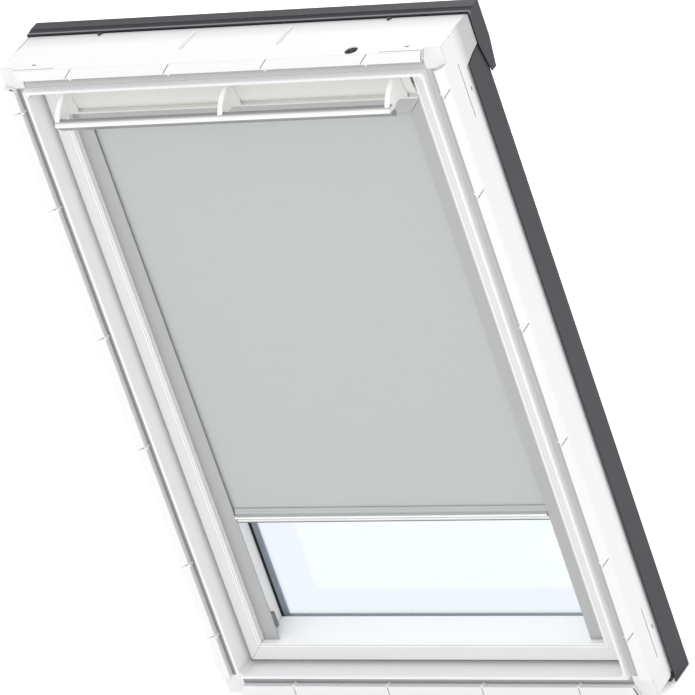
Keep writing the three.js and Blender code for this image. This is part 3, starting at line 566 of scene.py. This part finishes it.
def new_group(name, inputs, outputs):
    group = bpy.data.node_groups.new(name, "ShaderNodeTree")
    for label, kind, default in inputs:
        socket = group.interface.new_socket(name=label, in_out="INPUT", socket_type=kind)
        socket.default_value = default
    for label, kind in outputs:
        group.interface.new_socket(name=label, in_out="OUTPUT", socket_type=kind)
    return group, group.nodes.new("NodeGroupInput"), group.nodes.new("NodeGroupOutput")


def colour_and_gloss(group, start, end, pattern, gain, offset):
    """Blend the group's two colours by a pattern, and let the roughness swing with it."""
    share = calculate(group, "MULTIPLY_ADD", pattern, gain, offset, clamp=True)
    colour = blend_colours(group, share, start.outputs["Colour"], start.outputs["Shade"])
    group.links.new(colour, end.inputs["Colour"])
    swing = calculate(group, "SUBTRACT", pattern, 0.5)
    rough = calculate(group, "MULTIPLY_ADD", swing, start.outputs["Spread"], start.outputs["Roughness"])
    group.links.new(rough, end.inputs["Roughness"])


@built_once("node_groups", "Sprayed surface")
def coat_group(name):
    """Sprayed or moulded surface: slow changes of tone and gloss, and a fine grain in its height."""
    inputs = [
        ("Colour", COLOUR, PALE),
        ("Shade", COLOUR, PALE_SHADE),
        ("Grain", NUMBER, 900.0),
        ("Cloud", NUMBER, 9.0),
        ("Roughness", NUMBER, 0.4),
        ("Spread", NUMBER, 0.08),
    ]
    group, start, end = new_group(name, inputs, SURFACE_OUTPUTS)
    place = place_on(group)
    cloud = noise(group, place, start.outputs["Cloud"], detail=3.0, roughness=0.55)
    grain = noise(group, place, start.outputs["Grain"], detail=2.0)
    colour_and_gloss(group, start, end, cloud, gain=1.6, offset=-0.45)
    group.links.new(grain, end.inputs["Height"])
    return group


@built_once("node_groups", "Drawn metal")
def brushed_group(name):
    """Fine straight scratches, along the axis that is stretched least."""
    inputs = [
        ("Colour", COLOUR, PALE),
        ("Shade", COLOUR, PALE_SHADE),
        ("Stretch", VECTOR, (1.0, 60.0, 60.0)),
        ("Roughness", NUMBER, 0.35),
        ("Spread", NUMBER, 0.15),
    ]
    group, start, end = new_group(name, inputs, SURFACE_OUTPUTS)
    place = stretched(group, place_on(group), start.outputs["Stretch"])
    scratches = noise(group, place, 30.0, detail=4.0, roughness=0.6)
    colour_and_gloss(group, start, end, scratches, gain=2.0, offset=-0.6)
    group.links.new(scratches, end.inputs["Height"])
    return group


@built_once("node_groups", "Plain weave")
def weave_group(name):
    """Plain weave on the cloth's own map, with a few thicker threads."""
    inputs = [("Threads across", NUMBER, 800.0), ("Threads down", NUMBER, 1000.0)]
    group, start, end = new_group(name, inputs, [("Thread", NUMBER), ("Slub", NUMBER)])
    place = place_on(group, "UV")
    crests = []
    for axis, label in zip(axes(group, place), ("Threads across", "Threads down")):
        line = calculate(group, "MULTIPLY", axis, start.outputs[label])
        crests.append(calculate(group, "SINE", calculate(group, "MULTIPLY", line, math.tau)))
    thread = calculate(group, "MULTIPLY_ADD", calculate(group, "MULTIPLY", *crests), 0.5, 0.5)
    group.links.new(thread, end.inputs["Thread"])
    slub = noise(group, stretched(group, place, SLUB_STRETCH), 1.0, detail=3.0, roughness=0.6)
    group.links.new(slub, end.inputs["Slub"])
    return group


# Finishes
def colours():
    return bpy.context.scene.window_colours


def shaded(colour, share=1.0):
    return (*[c * share for c in colour], 1.0)


def start_material(name):
    made = bpy.data.materials.new(name)
    made.use_nodes = True
    return made, made.node_tree, made.node_tree.nodes["Principled BSDF"]


def surfaced(name, pattern, metallic, depth, strength, **settings):
    """A finish whose colour, roughness and height come from a shader group."""
    made, tree, shader = start_material(name)
    group = tree.nodes.new("ShaderNodeGroup")
    group.node_tree = pattern
    for label, value in settings.items():
        group.inputs[label].default_value = value
    tree.links.new(group.outputs["Colour"], shader.inputs["Base Color"])
    tree.links.new(group.outputs["Roughness"], shader.inputs["Roughness"])
    bump(tree, shader, group.outputs["Height"], depth, strength)
    shader.inputs["Metallic"].default_value = metallic
    return made


def sprayed(name, colour, dark=0.95, grain=900.0, cloud=9.0, roughness=0.4, depth=0.03 * MM, metallic=0.0):
    """A sprayed or moulded finish."""
    return surfaced(name, coat_group(), metallic, depth, 0.5, Colour=shaded(colour), Shade=shaded(colour, dark),
                    Grain=grain, Cloud=cloud, Roughness=roughness)


def drawn_metal(name, colour, stretch, roughness=0.38, metallic=0.6, dark=0.86):
    """A drawn aluminium profile, brushed along its length."""
    return surfaced(name, brushed_group(), metallic, 0.02 * MM, 0.3, Colour=shaded(colour),
                    Shade=shaded(colour, dark), Stretch=stretch, Roughness=roughness)


def opened(made):
    """The node tree of a finish, its shader and the colour that its shader group puts out."""
    tree = made.node_tree
    group = next(n for n in tree.nodes if n.type == "GROUP")
    return tree, tree.nodes["Principled BSDF"], group.outputs["Colour"]


def groove_shade_share(tree, inset, y, front):
    """How much painted shade the lining groove's floor gets: most beside the lip, less toward the rim."""
    floor = front + GROOVE_DEPTH
    groove = calculate(
        tree,
        "MULTIPLY",
        between(tree, inset, FRAME_LIP - GROOVE_SPILL, FRAME_LIP + GROOVE_WIDTH + GROOVE_SPILL),
        between(tree, y, floor + GROOVE_FLOOR[0], floor + GROOVE_FLOOR[1]),
    )
    from_rim = calculate(tree, "SUBTRACT", FRAME_LIP + GROOVE_WIDTH, inset)
    near_lip = calculate(tree, "DIVIDE", from_rim, GROOVE_WIDTH, clamp=True)
    grey = calculate(tree, "MULTIPLY_ADD", near_lip, GROOVE_SHADE_FALL, GROOVE_SHADE_BASE, clamp=True)
    return calculate(tree, "MULTIPLY", groove, grey)


def cladding_shade_share(tree, y, from_side, from_top):
    """The painted shade on the outer faces just before they run under the cladding and the hood."""
    cover_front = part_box("side_cover_left")[0].y
    hood_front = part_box("top_hood")[0].y
    beside = calculate(
        tree,
        "MULTIPLY",
        ramp(tree, y, cover_front - SHADE_REACH, cover_front + SHADE_END),
        calculate(tree, "LESS_THAN", from_side, SIDE_SHADE_DEPTH),
    )
    below = calculate(
        tree,
        "MULTIPLY",
        ramp(tree, y, hood_front - SHADE_REACH, hood_front),
        calculate(tree, "LESS_THAN", from_top, TOP_SHADE_DEPTH),
    )
    side_shade = calculate(tree, "MULTIPLY", calculate(tree, "POWER", beside, SHADE_CURVE), SIDE_SHADE)
    return calculate(tree, "MAXIMUM", side_shade, calculate(tree, "MULTIPLY", below, TOP_SHADE))


def seam_marks(tree, x, y, inset, low):
    """The floors of the seams across the lip; those on the left start further in."""
    lip_front = low.y + LIP_SETBACK
    return fold(
        tree,
        "MULTIPLY",
        between(tree, inset, SEAM_END, FRAME_LIP - SEAM_END),
        between(tree, y, lip_front + SEAM_FLOOR[0], lip_front + SEAM_FLOOR[1]),
        calculate(tree, "GREATER_THAN", x, low.x + SHORT_SEAM),
    )


def slot_mark(tree, depth, y, middle):
    """Painted shade on the floor of a key slot that runs along an outer face."""
    return calculate(
        tree,
        "MULTIPLY",
        between(tree, depth, *SLOT_FLOOR),
        between(tree, y, middle - SLOT_WIDTH / 2, middle + SLOT_WIDTH / 2),
    )


def hole_marks(tree, across, y, z, from_side, from_top, low, high):
    """Painted shade standing for small long holes near the ends of the top face and of the side faces."""
    half_height = (high.z - low.z) / 2
    from_middle = calculate(tree, "ABSOLUTE", calculate(tree, "SUBTRACT", z, low.z + half_height))
    top = calculate(
        tree,
        "MULTIPLY",
        oval(tree, across, y, TOP_HOLE_X, low.y + TOP_HOLE_Y),
        calculate(tree, "LESS_THAN", from_top, HOLE_DEPTH),
    )
    side = calculate(
        tree,
        "MULTIPLY",
        oval(tree, from_middle, y, half_height - SIDE_HOLE_INSET, low.y + SIDE_HOLE_Y),
        calculate(tree, "LESS_THAN", from_side, HOLE_DEPTH),
    )
    return calculate(tree, "MAXIMUM", top, side)


@built_once("materials", "White frame coat")
def frame_coat(name):
    """The outer frame's white coat, with painted shade on its groove's floor and beside the cladding, dark
    seams, and painted shade in its key slots and holes.
    """
    made = sprayed(name, colours().coat, dark=0.985, grain=700.0, cloud=6.0, roughness=0.38)
    tree, shader, coat = opened(made)
    x, y, z = axes(tree, place_on(tree))
    low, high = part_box("frame_left")
    across = calculate(tree, "ABSOLUTE", x)
    from_side = calculate(tree, "SUBTRACT", abs(low.x), across)
    from_top = calculate(tree, "SUBTRACT", high.z, z)
    inset = fold(tree, "MINIMUM", z, from_top, from_side)
    # The groove's grey, painted as shade
    grey = shaded(colours().groove)
    groove_shaded = blend_colours(tree, groove_shade_share(tree, inset, y, low.y), coat, grey)
    # Painted shade on the faces beside the cladding and below the hood
    cladding_shaded = blend_colours(tree, cladding_shade_share(tree, y, from_side, from_top), groove_shaded, grey)
    # Dark seams, and painted shade in the key slots and holes
    marks = fold(
        tree,
        "MAXIMUM",
        seam_marks(tree, x, y, inset, low),
        slot_mark(tree, from_top, y, low.y + TOP_SLOT_Y),
        slot_mark(tree, from_side, y, low.y + SIDE_SLOT_Y),
        hole_marks(tree, across, y, z, from_side, from_top, low, high),
    )
    marked = blend_colours(tree, marks, cladding_shaded, shaded(colours().line))
    tree.links.new(marked, shader.inputs["Base Color"])
    shader.inputs["Coat Weight"].default_value = 0.15
    return made


@built_once("materials", "White sash coat")
def sash_coat(name):
    """The sash's white coat, set lighter than the frame's as painted light, with painted shade on its recessed
    front face and two painted highlights of the bead round its inner edge, painted shade beside them.
    """
    made = sprayed(name, colours().sash, dark=0.985, grain=700.0, cloud=7.0, roughness=0.38)
    tree, shader, coat = opened(made)
    x, y, z = axes(tree, place_on(tree))
    side_low, side_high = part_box("sash_left")
    foot_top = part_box("sash_bottom")[1].z
    across = calculate(tree, "SUBTRACT", calculate(tree, "ABSOLUTE", x), abs(side_high.x))
    down = calculate(tree, "SUBTRACT", foot_top, z)
    step = calculate(tree, "MAXIMUM", across, down)
    # Painted shade on the recessed front face, with two painted highlights of the bead and painted shade beside
    # them
    face = calculate(tree, "LESS_THAN", y, side_low.y + SASH_FACE_DEPTH)
    bright = calculate(tree, "MULTIPLY", bands(tree, step, *BEAD_HIGHLIGHTS), face)
    dull = calculate(tree, "MULTIPLY", bands(tree, step, *BEAD_SHADES), face)
    front = blend_colours(tree, face, coat, shaded(colours().sash, SASH_FACE_SHADE))
    lined = blend_colours(tree, bright, front, shaded(colours().bead))
    finished = blend_colours(tree, dull, lined, shaded(colours().sash, BEAD_SHADE_TONE))
    tree.links.new(finished, shader.inputs["Base Color"])
    return made


# The frame's coat darkened, as painted shade on the ribs
@built_once("materials", "White rib coat")
def shaded_rib_coat(name):
    return sprayed(name, colours().rib, dark=0.97, grain=700.0, roughness=0.40)


@built_once("materials", "Corner cap plastic")
def cap_plastic(name):
    return sprayed(name, colours().cap, grain=1400.0, roughness=0.55)


# The flap's off-white, darkened as painted shade in its cove
@built_once("materials", "Off-white flap")
def shaded_flap_finish(name):
    return sprayed(name, colours().flap, dark=0.96, grain=1100.0, cloud=11.0, roughness=0.42)


# The same off-white, lightened as painted light on the fins
@built_once("materials", "Off-white fin")
def lit_fin_finish(name):
    return sprayed(name, colours().fin, dark=0.97, grain=1100.0, cloud=11.0, roughness=0.42)


def clad(name):
    """Dark paint of the folded cladding, with a dull gloss."""
    made = sprayed(name, colours().cladding, dark=0.86, grain=1500.0, cloud=14.0, roughness=0.46,
                   depth=0.05 * MM, metallic=0.15)
    opened(made)[1].inputs["Specular IOR Level"].default_value = CLADDING_SPECULAR
    return made


@built_once("materials", "Dark cladding paint")
def cladding_paint(name):
    return clad(name)


@built_once("materials", "Dark hood paint")
def hood_paint(name):
    """The cladding's paint, with a painted highlight along the hood's folded step."""
    made = clad(name)
    tree, shader, paint_colour = opened(made)
    _, y, z = axes(tree, place_on(tree))
    low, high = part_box("top_hood")
    # Painted highlight along the fold
    line = calculate(
        tree,
        "MULTIPLY",
        between(tree, y, low.y + HOOD_FOLD_HIGHLIGHT[0], low.y + HOOD_FOLD_HIGHLIGHT[1]),
        calculate(tree, "GREATER_THAN", z, high.z - HOOD_HIGHLIGHT_DEPTH),
    )
    colour = blend_colours(tree, line, paint_colour, shaded(colours().fold))
    tree.links.new(colour, shader.inputs["Base Color"])
    return made


@built_once("materials", "Black seal")
def seal_rubber(name):
    return sprayed(name, colours().seal, dark=0.7, roughness=0.7, depth=0.06 * MM)


@built_once("materials", "Grey clip plastic")
def clip_plastic(name):
    return sprayed(name, colours().clip, dark=0.9, grain=1300.0, roughness=0.5)


@built_once("materials", "Zinc plate")
def zinc(name):
    return sprayed(name, colours().steel, dark=0.75, grain=500.0, cloud=160.0, roughness=0.36,
                   metallic=0.85)


@built_once("materials", "Bright control bar")
def bar_metal(name):
    """Bright anodised bar, with painted shade where its faces turn up or down."""
    made = drawn_metal(name, colours().bar, ALONG_X, roughness=0.30, metallic=0.4, dark=0.95)
    tree, shader, metal = opened(made)
    z = axes(tree, place_on(tree))["Z"]
    low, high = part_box("control_bar")
    height = high.z - low.z
    upper, lower = [
        ramp(tree, z, low.z + start * height, low.z + end * height)
        for start, end in (BAR_UPPER_SHADE, BAR_LOWER_SHADE)
    ]
    shade = calculate(tree, "MULTIPLY", calculate(tree, "MAXIMUM", upper, lower), BAR_SHADE_SHARE)
    colour = blend_colours(tree, shade, metal, shaded(colours().bar_shade))
    tree.links.new(colour, shader.inputs["Base Color"])
    return made


@built_once("materials", "Channel profile")
def channel_metal(name):
    return drawn_metal(name, colours().profile, ALONG_Z, roughness=0.42, metallic=0.35, dark=0.92)


@built_once("materials", "Rail profile")
def rail_metal(name):
    return drawn_metal(name, colours().profile, ALONG_X, roughness=0.34, metallic=0.45, dark=0.92)


@built_once("materials", "Spacer profile")
def spacer_metal(name):
    return drawn_metal(name, colours().spacer, ALONG_Z, roughness=0.45, metallic=0.3, dark=0.88)


@built_once("materials", "Bottom bar profile")
def bottom_bar_metal(name):
    """The drawn bottom bar: cloth grey above, painted highlights on a rounded bead, and painted shade in dark
    lines below.
    """
    made = drawn_metal(name, colours().cloth, ALONG_X, roughness=0.34, metallic=0.25, dark=0.94)
    tree, shader, metal = opened(made)
    z = axes(tree, place_on(tree))["Z"]
    low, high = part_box("bottom_bar")
    share = calculate(tree, "DIVIDE", calculate(tree, "SUBTRACT", z, low.z), high.z - low.z)
    # Painted shade in the dark and fine lines, painted highlights on the bead
    fine = calculate(tree, "MULTIPLY", bands(tree, share, *BAR_FINE_SHADE_LINES), BAR_FINE_SHADE_SHARE)
    marks = calculate(tree, "MAXIMUM", bands(tree, share, *BAR_SHADE_LINES), fine)
    lit = blend_colours(tree, bands(tree, share, *BAR_BEAD_HIGHLIGHTS), metal, shaded(colours().bar))
    lined = blend_colours(tree, marks, lit, shaded(colours().line, 1.4))
    tree.links.new(lined, shader.inputs["Base Color"])
    return made


@built_once("materials", "Blackout cloth")
def cloth_finish(name):
    """The coated weave of the blind, with painted shade in the valleys between its threads."""
    thread_pair = 2 * bpy.context.scene.blind_cloth.thread
    low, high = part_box("blind_cloth")
    made, tree, shader = start_material(name)
    group = tree.nodes.new("ShaderNodeGroup")
    group.node_tree = weave_group()
    group.inputs["Threads across"].default_value = (high.x - low.x) / thread_pair
    group.inputs["Threads down"].default_value = (high.z - low.z) / thread_pair
    share = calculate(tree, "MULTIPLY_ADD", group.outputs["Slub"], 0.8, -0.1, clamp=True)
    base = blend_colours(tree, share, shaded(colours().cloth, 1.03), shaded(colours().cloth, 0.96))
    # Painted shade in the valleys between the threads
    valley_shade = calculate(tree, "MULTIPLY_ADD", group.outputs["Thread"], -0.5, 0.5)
    tone = blend_colours(tree, valley_shade, base, shaded(colours().cloth, 0.94))
    tree.links.new(tone, shader.inputs["Base Color"])
    shader.inputs["Roughness"].default_value = 0.85
    shader.inputs["Sheen Weight"].default_value = 0.15
    shader.inputs["Sheen Roughness"].default_value = 0.5
    bump(tree, shader, group.outputs["Thread"], 0.05 * MM)
    return made


@built_once("materials", "Rolled cloth")
def rolled_cloth_finish(name):
    return drawn_metal(name, colours().cloth, ALONG_X, roughness=0.85, metallic=0.0, dark=0.94)


@built_once("materials", "Clear pane")
def pane_glass(name):
    """Thin clear glass, with a darker blue painted reflection along the sides and the foot of the outer pane.
    """
    made, tree, shader = start_material(name)
    place = place_on(tree)
    haze = noise(tree, place, 6.0, detail=3.0)
    x, y, z = axes(tree, place)
    low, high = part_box("outer_pane")
    from_side = calculate(tree, "SUBTRACT", high.x, calculate(tree, "ABSOLUTE", x))
    from_foot = calculate(tree, "SUBTRACT", z, low.z)
    # The bands of painted reflection along the sides and the foot
    edge = calculate(
        tree,
        "MAXIMUM",
        calculate(tree, "LESS_THAN", from_side, SIDE_REFLECTION_BAND),
        calculate(tree, "LESS_THAN", from_foot, FOOT_REFLECTION_BAND),
    )
    band = calculate(tree, "MULTIPLY", edge, calculate(tree, "GREATER_THAN", y, low.y - 1.0 * MM))
    clear = blend_colours(tree, haze, shaded(colours().glass), shaded(colours().glass, 0.985))
    colour = blend_colours(tree, band, clear, shaded(colours().glass_reflection))
    tree.links.new(colour, shader.inputs["Base Color"])
    tree.links.new(calculate(tree, "MULTIPLY", haze, GLASS_HAZE), shader.inputs["Roughness"])
    shader.inputs["Transmission Weight"].default_value = 1.0
    shader.inputs["IOR"].default_value = GLASS_INDEX
    shader.inputs["Alpha"].default_value = GLASS_ALPHA
    return made


@built_once("materials", "Pale floor")
def floor_paint(name):
    """A floor that the camera sees nearly white, with a soft shadow, and plain white through glass."""
    studio = bpy.context.scene.studio
    made = sprayed(name, studio.floor, dark=0.99, grain=40.0, cloud=1.0, roughness=0.95)
    tree, shader, floor_colour = opened(made)
    rays = tree.nodes.new("ShaderNodeLightPath").outputs
    crossed = calculate(tree, "GREATER_THAN", rays["Transparent Depth"], 0.5)
    glimpsed = calculate(tree, "MULTIPLY", crossed, rays["Is Camera Ray"])
    through = calculate(tree, "MAXIMUM", rays["Is Transmission Ray"], glimpsed)
    plain = blend_colours(tree, through, floor_colour, (0.0, 0.0, 0.0, 1.0))
    tree.links.new(plain, shader.inputs["Base Color"])
    seen = calculate(tree, "MULTIPLY", rays["Is Camera Ray"], studio.floor_glow)
    mirrored = calculate(tree, "MULTIPLY", rays["Is Glossy Ray"], studio.floor_glow)
    glow = fold(tree, "MAXIMUM", seen, mirrored, through)
    shader.inputs["Emission Color"].default_value = (1.0, 1.0, 1.0, 1.0)
    tree.links.new(glow, shader.inputs["Emission Strength"])
    return made


# Pieces
FRAME_MEMBERS = ["frame_left", "frame_right", "frame_top", "frame_bottom"]
SASH_MEMBERS = ["sash_left", "sash_right", "sash_bottom", "sash_top"]
CORNER_CAPS = [
    "corner_cap_top_left",
    "corner_cap_top_right",
    "corner_cap_bottom_left",
    "corner_cap_bottom_right",
]
CLADDING = [
    "side_cover_left",
    "side_cover_right",
    "upper_cover_left",
    "upper_cover_right",
    "top_hood",
    "sill_cover",
    "lower_cover_left",
    "lower_cover_right",
    "sash_bottom_cover",
    "glazing_cover",
]
FITTINGS = [
    "pivot_plate_left",
    "pivot_plate_right",
    "pivot_pin_left",
    "pivot_pin_right",
    "sash_pivot_left",
    "sash_pivot_right",
    "strike_plate",
    "latch_bolt",
    "flap_pin_left",
    "flap_pin_right",
    "roller_journal_left",
    "roller_journal_right",
    "tension_spring_mandrel",
]


class WINDOW_OT_frame(bpy.types.Operator):
    """Coat the white outer frame and round its corner caps"""

    bl_idname = "window.frame"
    bl_label = "Outer Frame"

    def execute(self, context):
        edges = context.scene.window_edges
        for node in FRAME_MEMBERS:
            edged_copy(node, 0.0, frame_coat())
        for node in CORNER_CAPS:
            edged_copy(node, edges.moulded, cap_plastic())
        return {"FINISHED"}


class WINDOW_OT_ribs(bpy.types.Operator):
    """Shape the two ribs that cross the frame's top face"""

    bl_idname = "window.ribs"
    bl_label = "Top Ribs"

    def execute(self, context):
        low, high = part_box("frame_top")
        middle_y = low.y + (RIB_FRONT + RIB_BACK) / 2
        for place in RIB_PLACES:
            deselect_all()
            bpy.ops.mesh.primitive_cube_add(size=1.0, location=(place, middle_y, high.z))
            rib = context.object
            rib.name = "top_rib_left" if place < 0 else "top_rib_right"
            rib.scale = (RIB_WIDTH, RIB_BACK - RIB_FRONT, RIB_HEIGHT * 2)
            place_in_mesh(rib)
            round_edges(rib, RIB_HEIGHT * RIB_ROUNDING, segments=3)
            dress(rib, shaded_rib_coat(), "frame")
        return {"FINISHED"}


class WINDOW_OT_sash(bpy.types.Operator):
    """Round the edges of the white sash"""

    bl_idname = "window.sash"
    bl_label = "Sash"

    def execute(self, context):
        edges = context.scene.window_edges
        for node in SASH_MEMBERS:
            edged_copy(node, edges.coated, sash_coat())
        return {"FINISHED"}


class WINDOW_OT_cladding(bpy.types.Operator):
    """Round the folded edges of the dark cladding"""

    bl_idname = "window.cladding"
    bl_label = "Cladding"

    def execute(self, context):
        edges = context.scene.window_edges
        for node in CLADDING:
            edged_copy(node, edges.folded, hood_paint() if node == "top_hood" else cladding_paint())
        return {"FINISHED"}


class WINDOW_OT_glazing(bpy.types.Operator):
    """Give the panes and seals their finishes"""

    bl_idname = "window.glazing"
    bl_label = "Glazing and Seals"

    def execute(self, context):
        for node in ("inner_pane", "outer_pane"):
            paint(node, pane_glass())
        paint("spacer_bar", spacer_metal())
        for node in ("glazing_gasket", "frame_seal", "sill_seal"):
            paint(node, seal_rubber())
        edged_copy("cable_grommet", GROMMET_EDGE, seal_rubber())
        return {"FINISHED"}


class WINDOW_OT_fittings(bpy.types.Operator):
    """Give the plated fittings their finish"""

    bl_idname = "window.fittings"
    bl_label = "Plated Fittings"

    def execute(self, context):
        for node in FITTINGS:
            paint(node, zinc())
        return {"FINISHED"}


class WINDOW_OT_flap(bpy.types.Operator):
    """Round the vent flap, its fins and the control bar"""

    bl_idname = "window.flap"
    bl_label = "Vent Flap"

    def execute(self, context):
        edges = context.scene.window_edges
        edged_copy("vent_flap", edges.moulded, shaded_flap_finish())
        for node in ("fin_left", "fin_middle", "fin_right"):
            edged_copy(node, edges.moulded, lit_fin_finish())
        edged_copy("control_bar", edges.drawn, bar_metal())
        return {"FINISHED"}


class WINDOW_OT_blind_rails(bpy.types.Operator):
    """Round the blind's channels, casing, bottom bar and clips"""

    bl_idname = "window.blind_rails"
    bl_label = "Blind Rails"

    def execute(self, context):
        edges = context.scene.window_edges
        for side in ("left", "right"):
            edged_copy("side_channel_" + side, edges.drawn, channel_metal())
            edged_copy("channel_foot_" + side, edges.moulded, clip_plastic())
            edged_copy("bar_guide_" + side, edges.moulded, clip_plastic())
            paint("roller_bracket_" + side, clip_plastic())
        edged_copy("blind_casing", edges.drawn, rail_metal())
        edged_copy("bottom_bar", edges.drawn, bottom_bar_metal())
        paint("roller_tube", rail_metal())
        paint("cloth_roll", rolled_cloth_finish())
        return {"FINISHED"}


class WINDOW_OT_cloth(bpy.types.Operator):
    """Hang the blind's cloth from the roll to the bottom bar"""

    bl_idname = "window.cloth"
    bl_label = "Cloth"

    def execute(self, context):
        settings = context.scene.blind_cloth
        low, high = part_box("blind_cloth")
        middle = (low + high) / 2
        deselect_all()
        bpy.ops.mesh.primitive_grid_add(
            x_subdivisions=settings.columns,
            y_subdivisions=settings.rows,
            size=1.0,
            calc_uvs=True,
            location=middle,
            rotation=(math.pi / 2, 0, 0),
        )
        cloth = context.object
        cloth.name = "cloth_hung"
        cloth.scale = (high.x - low.x, high.z - low.z, 1.0)
        place_in_mesh(cloth)
        wave = bpy.data.textures.new("Slack", "CLOUDS")
        wave.noise_scale = SLACK_SIZE
        apply_modifier(cloth, "DISPLACE", texture=wave, strength=settings.ripple * 2, mid_level=0.5,
                       direction="Y", texture_coords="GLOBAL")
        apply_modifier(cloth, "SOLIDIFY", thickness=settings.thickness, offset=0.0)
        bpy.ops.object.shade_smooth_by_angle(angle=CLOTH_ANGLE)
        cloth.data.materials.append(cloth_finish())
        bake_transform(cloth)
        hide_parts("blind_cloth")
        return {"FINISHED"}


def white_world(level):
    world = bpy.data.worlds.new("Even white light")
    world.use_nodes = True
    tree = world.node_tree
    shown = tree.nodes["Background"]
    shown.inputs["Color"].default_value = (1.0, 1.0, 1.0, 1.0)
    path = tree.nodes.new("ShaderNodeLightPath")
    seen = calculate(tree, "MAXIMUM", path.outputs["Is Camera Ray"], path.outputs["Is Transmission Ray"])
    strength = calculate(tree, "MAXIMUM", seen, level)
    tree.links.new(strength, shown.inputs["Strength"])
    bpy.context.scene.world = world


def soft_lamp(name, place, target, power):
    deselect_all()
    bpy.ops.object.light_add(type="AREA", location=place)
    lamp = bpy.context.object
    lamp.name = name
    lamp.data.shape = "SQUARE"
    lamp.data.size = LAMP_SIZE
    lamp.data.energy = power
    aim = Vector(target) - Vector(place)
    lamp.rotation_euler = aim.to_track_quat("-Z", "Y").to_euler()


class WINDOW_OT_stage(bpy.types.Operator):
    """Lay the floor, light it and place the camera"""

    bl_idname = "window.stage"
    bl_label = "Studio"

    def execute(self, context):
        studio = context.scene.studio
        low = Vector(cad_box[0])
        deselect_all()
        bpy.ops.mesh.primitive_plane_add(size=FLOOR_SIZE, location=(0, 0, low.z - FLOOR_GAP))
        floor = context.object
        floor.name = "studio_floor"
        floor.data.materials.append(floor_paint())
        white_world(studio.sky)
        soft_lamp("key_lamp", *KEY_LAMP, studio.key)
        soft_lamp("outdoor_lamp", *OUTDOOR_LAMP, studio.outdoor)
        camera_data = bpy.data.cameras.new("camera")
        camera = bpy.data.objects.new("camera", camera_data)
        context.scene.collection.objects.link(camera)
        camera_data.lens = studio.focal_length
        camera_data.sensor_width = SENSOR_WIDTH
        camera_data.clip_end = FAR_CLIP
        aim = Vector(studio.camera_target) - Vector(studio.camera_place)
        turn = aim.to_track_quat("-Z", "Y").to_matrix().to_4x4()
        roll = Matrix.Rotation(studio.camera_roll, 4, "Z")
        camera.matrix_world = Matrix.Translation(studio.camera_place) @ turn @ roll
        context.scene.camera = camera
        context.scene.view_settings.view_transform = "Standard"
        return {"FINISHED"}


class WINDOW_PT_panel(bpy.types.Panel):
    bl_label = "Roof Window and Blind"
    bl_idname = "WINDOW_PT_panel"
    bl_space_type = "VIEW_3D"
    bl_region_type = "UI"
    bl_category = "Window"

    def draw(self, context):
        layout = self.layout
        for operator in OPERATORS:
            layout.operator(operator.bl_idname)
        for label, settings in SETTINGS.items():
            box = layout.box()
            box.label(text=label.replace("_", " ").capitalize())
            for name in settings.__annotations__:
                box.prop(getattr(context.scene, label), name)


OPERATORS = [
    WINDOW_OT_stage,
    WINDOW_OT_frame,
    WINDOW_OT_ribs,
    WINDOW_OT_cladding,
    WINDOW_OT_sash,
    WINDOW_OT_glazing,
    WINDOW_OT_fittings,
    WINDOW_OT_flap,
    WINDOW_OT_blind_rails,
    WINDOW_OT_cloth,
]
SETTINGS = {
    "window_edges": WindowEdges,
    "blind_cloth": BlindCloth,
    "window_colours": WindowColours,
    "studio": Studio,
}


def register():
    for kind in (*SETTINGS.values(), *OPERATORS, WINDOW_PT_panel):
        bpy.utils.register_class(kind)
    for name, kind in SETTINGS.items():
        setattr(bpy.types.Scene, name, bpy.props.PointerProperty(type=kind))


def unregister():
    for name in SETTINGS:
        delattr(bpy.types.Scene, name)
    for kind in reversed((*SETTINGS.values(), *OPERATORS, WINDOW_PT_panel)):
        bpy.utils.unregister_class(kind)


def main():
    register()
    bpy.ops.window.stage()
    bpy.ops.window.frame()
    bpy.ops.window.ribs()
    bpy.ops.window.cladding()
    bpy.ops.window.sash()
    bpy.ops.window.glazing()
    bpy.ops.window.fittings()
    bpy.ops.window.flap()
    bpy.ops.window.blind_rails()
    bpy.ops.window.cloth()


if __name__ == "__main__":
    main()
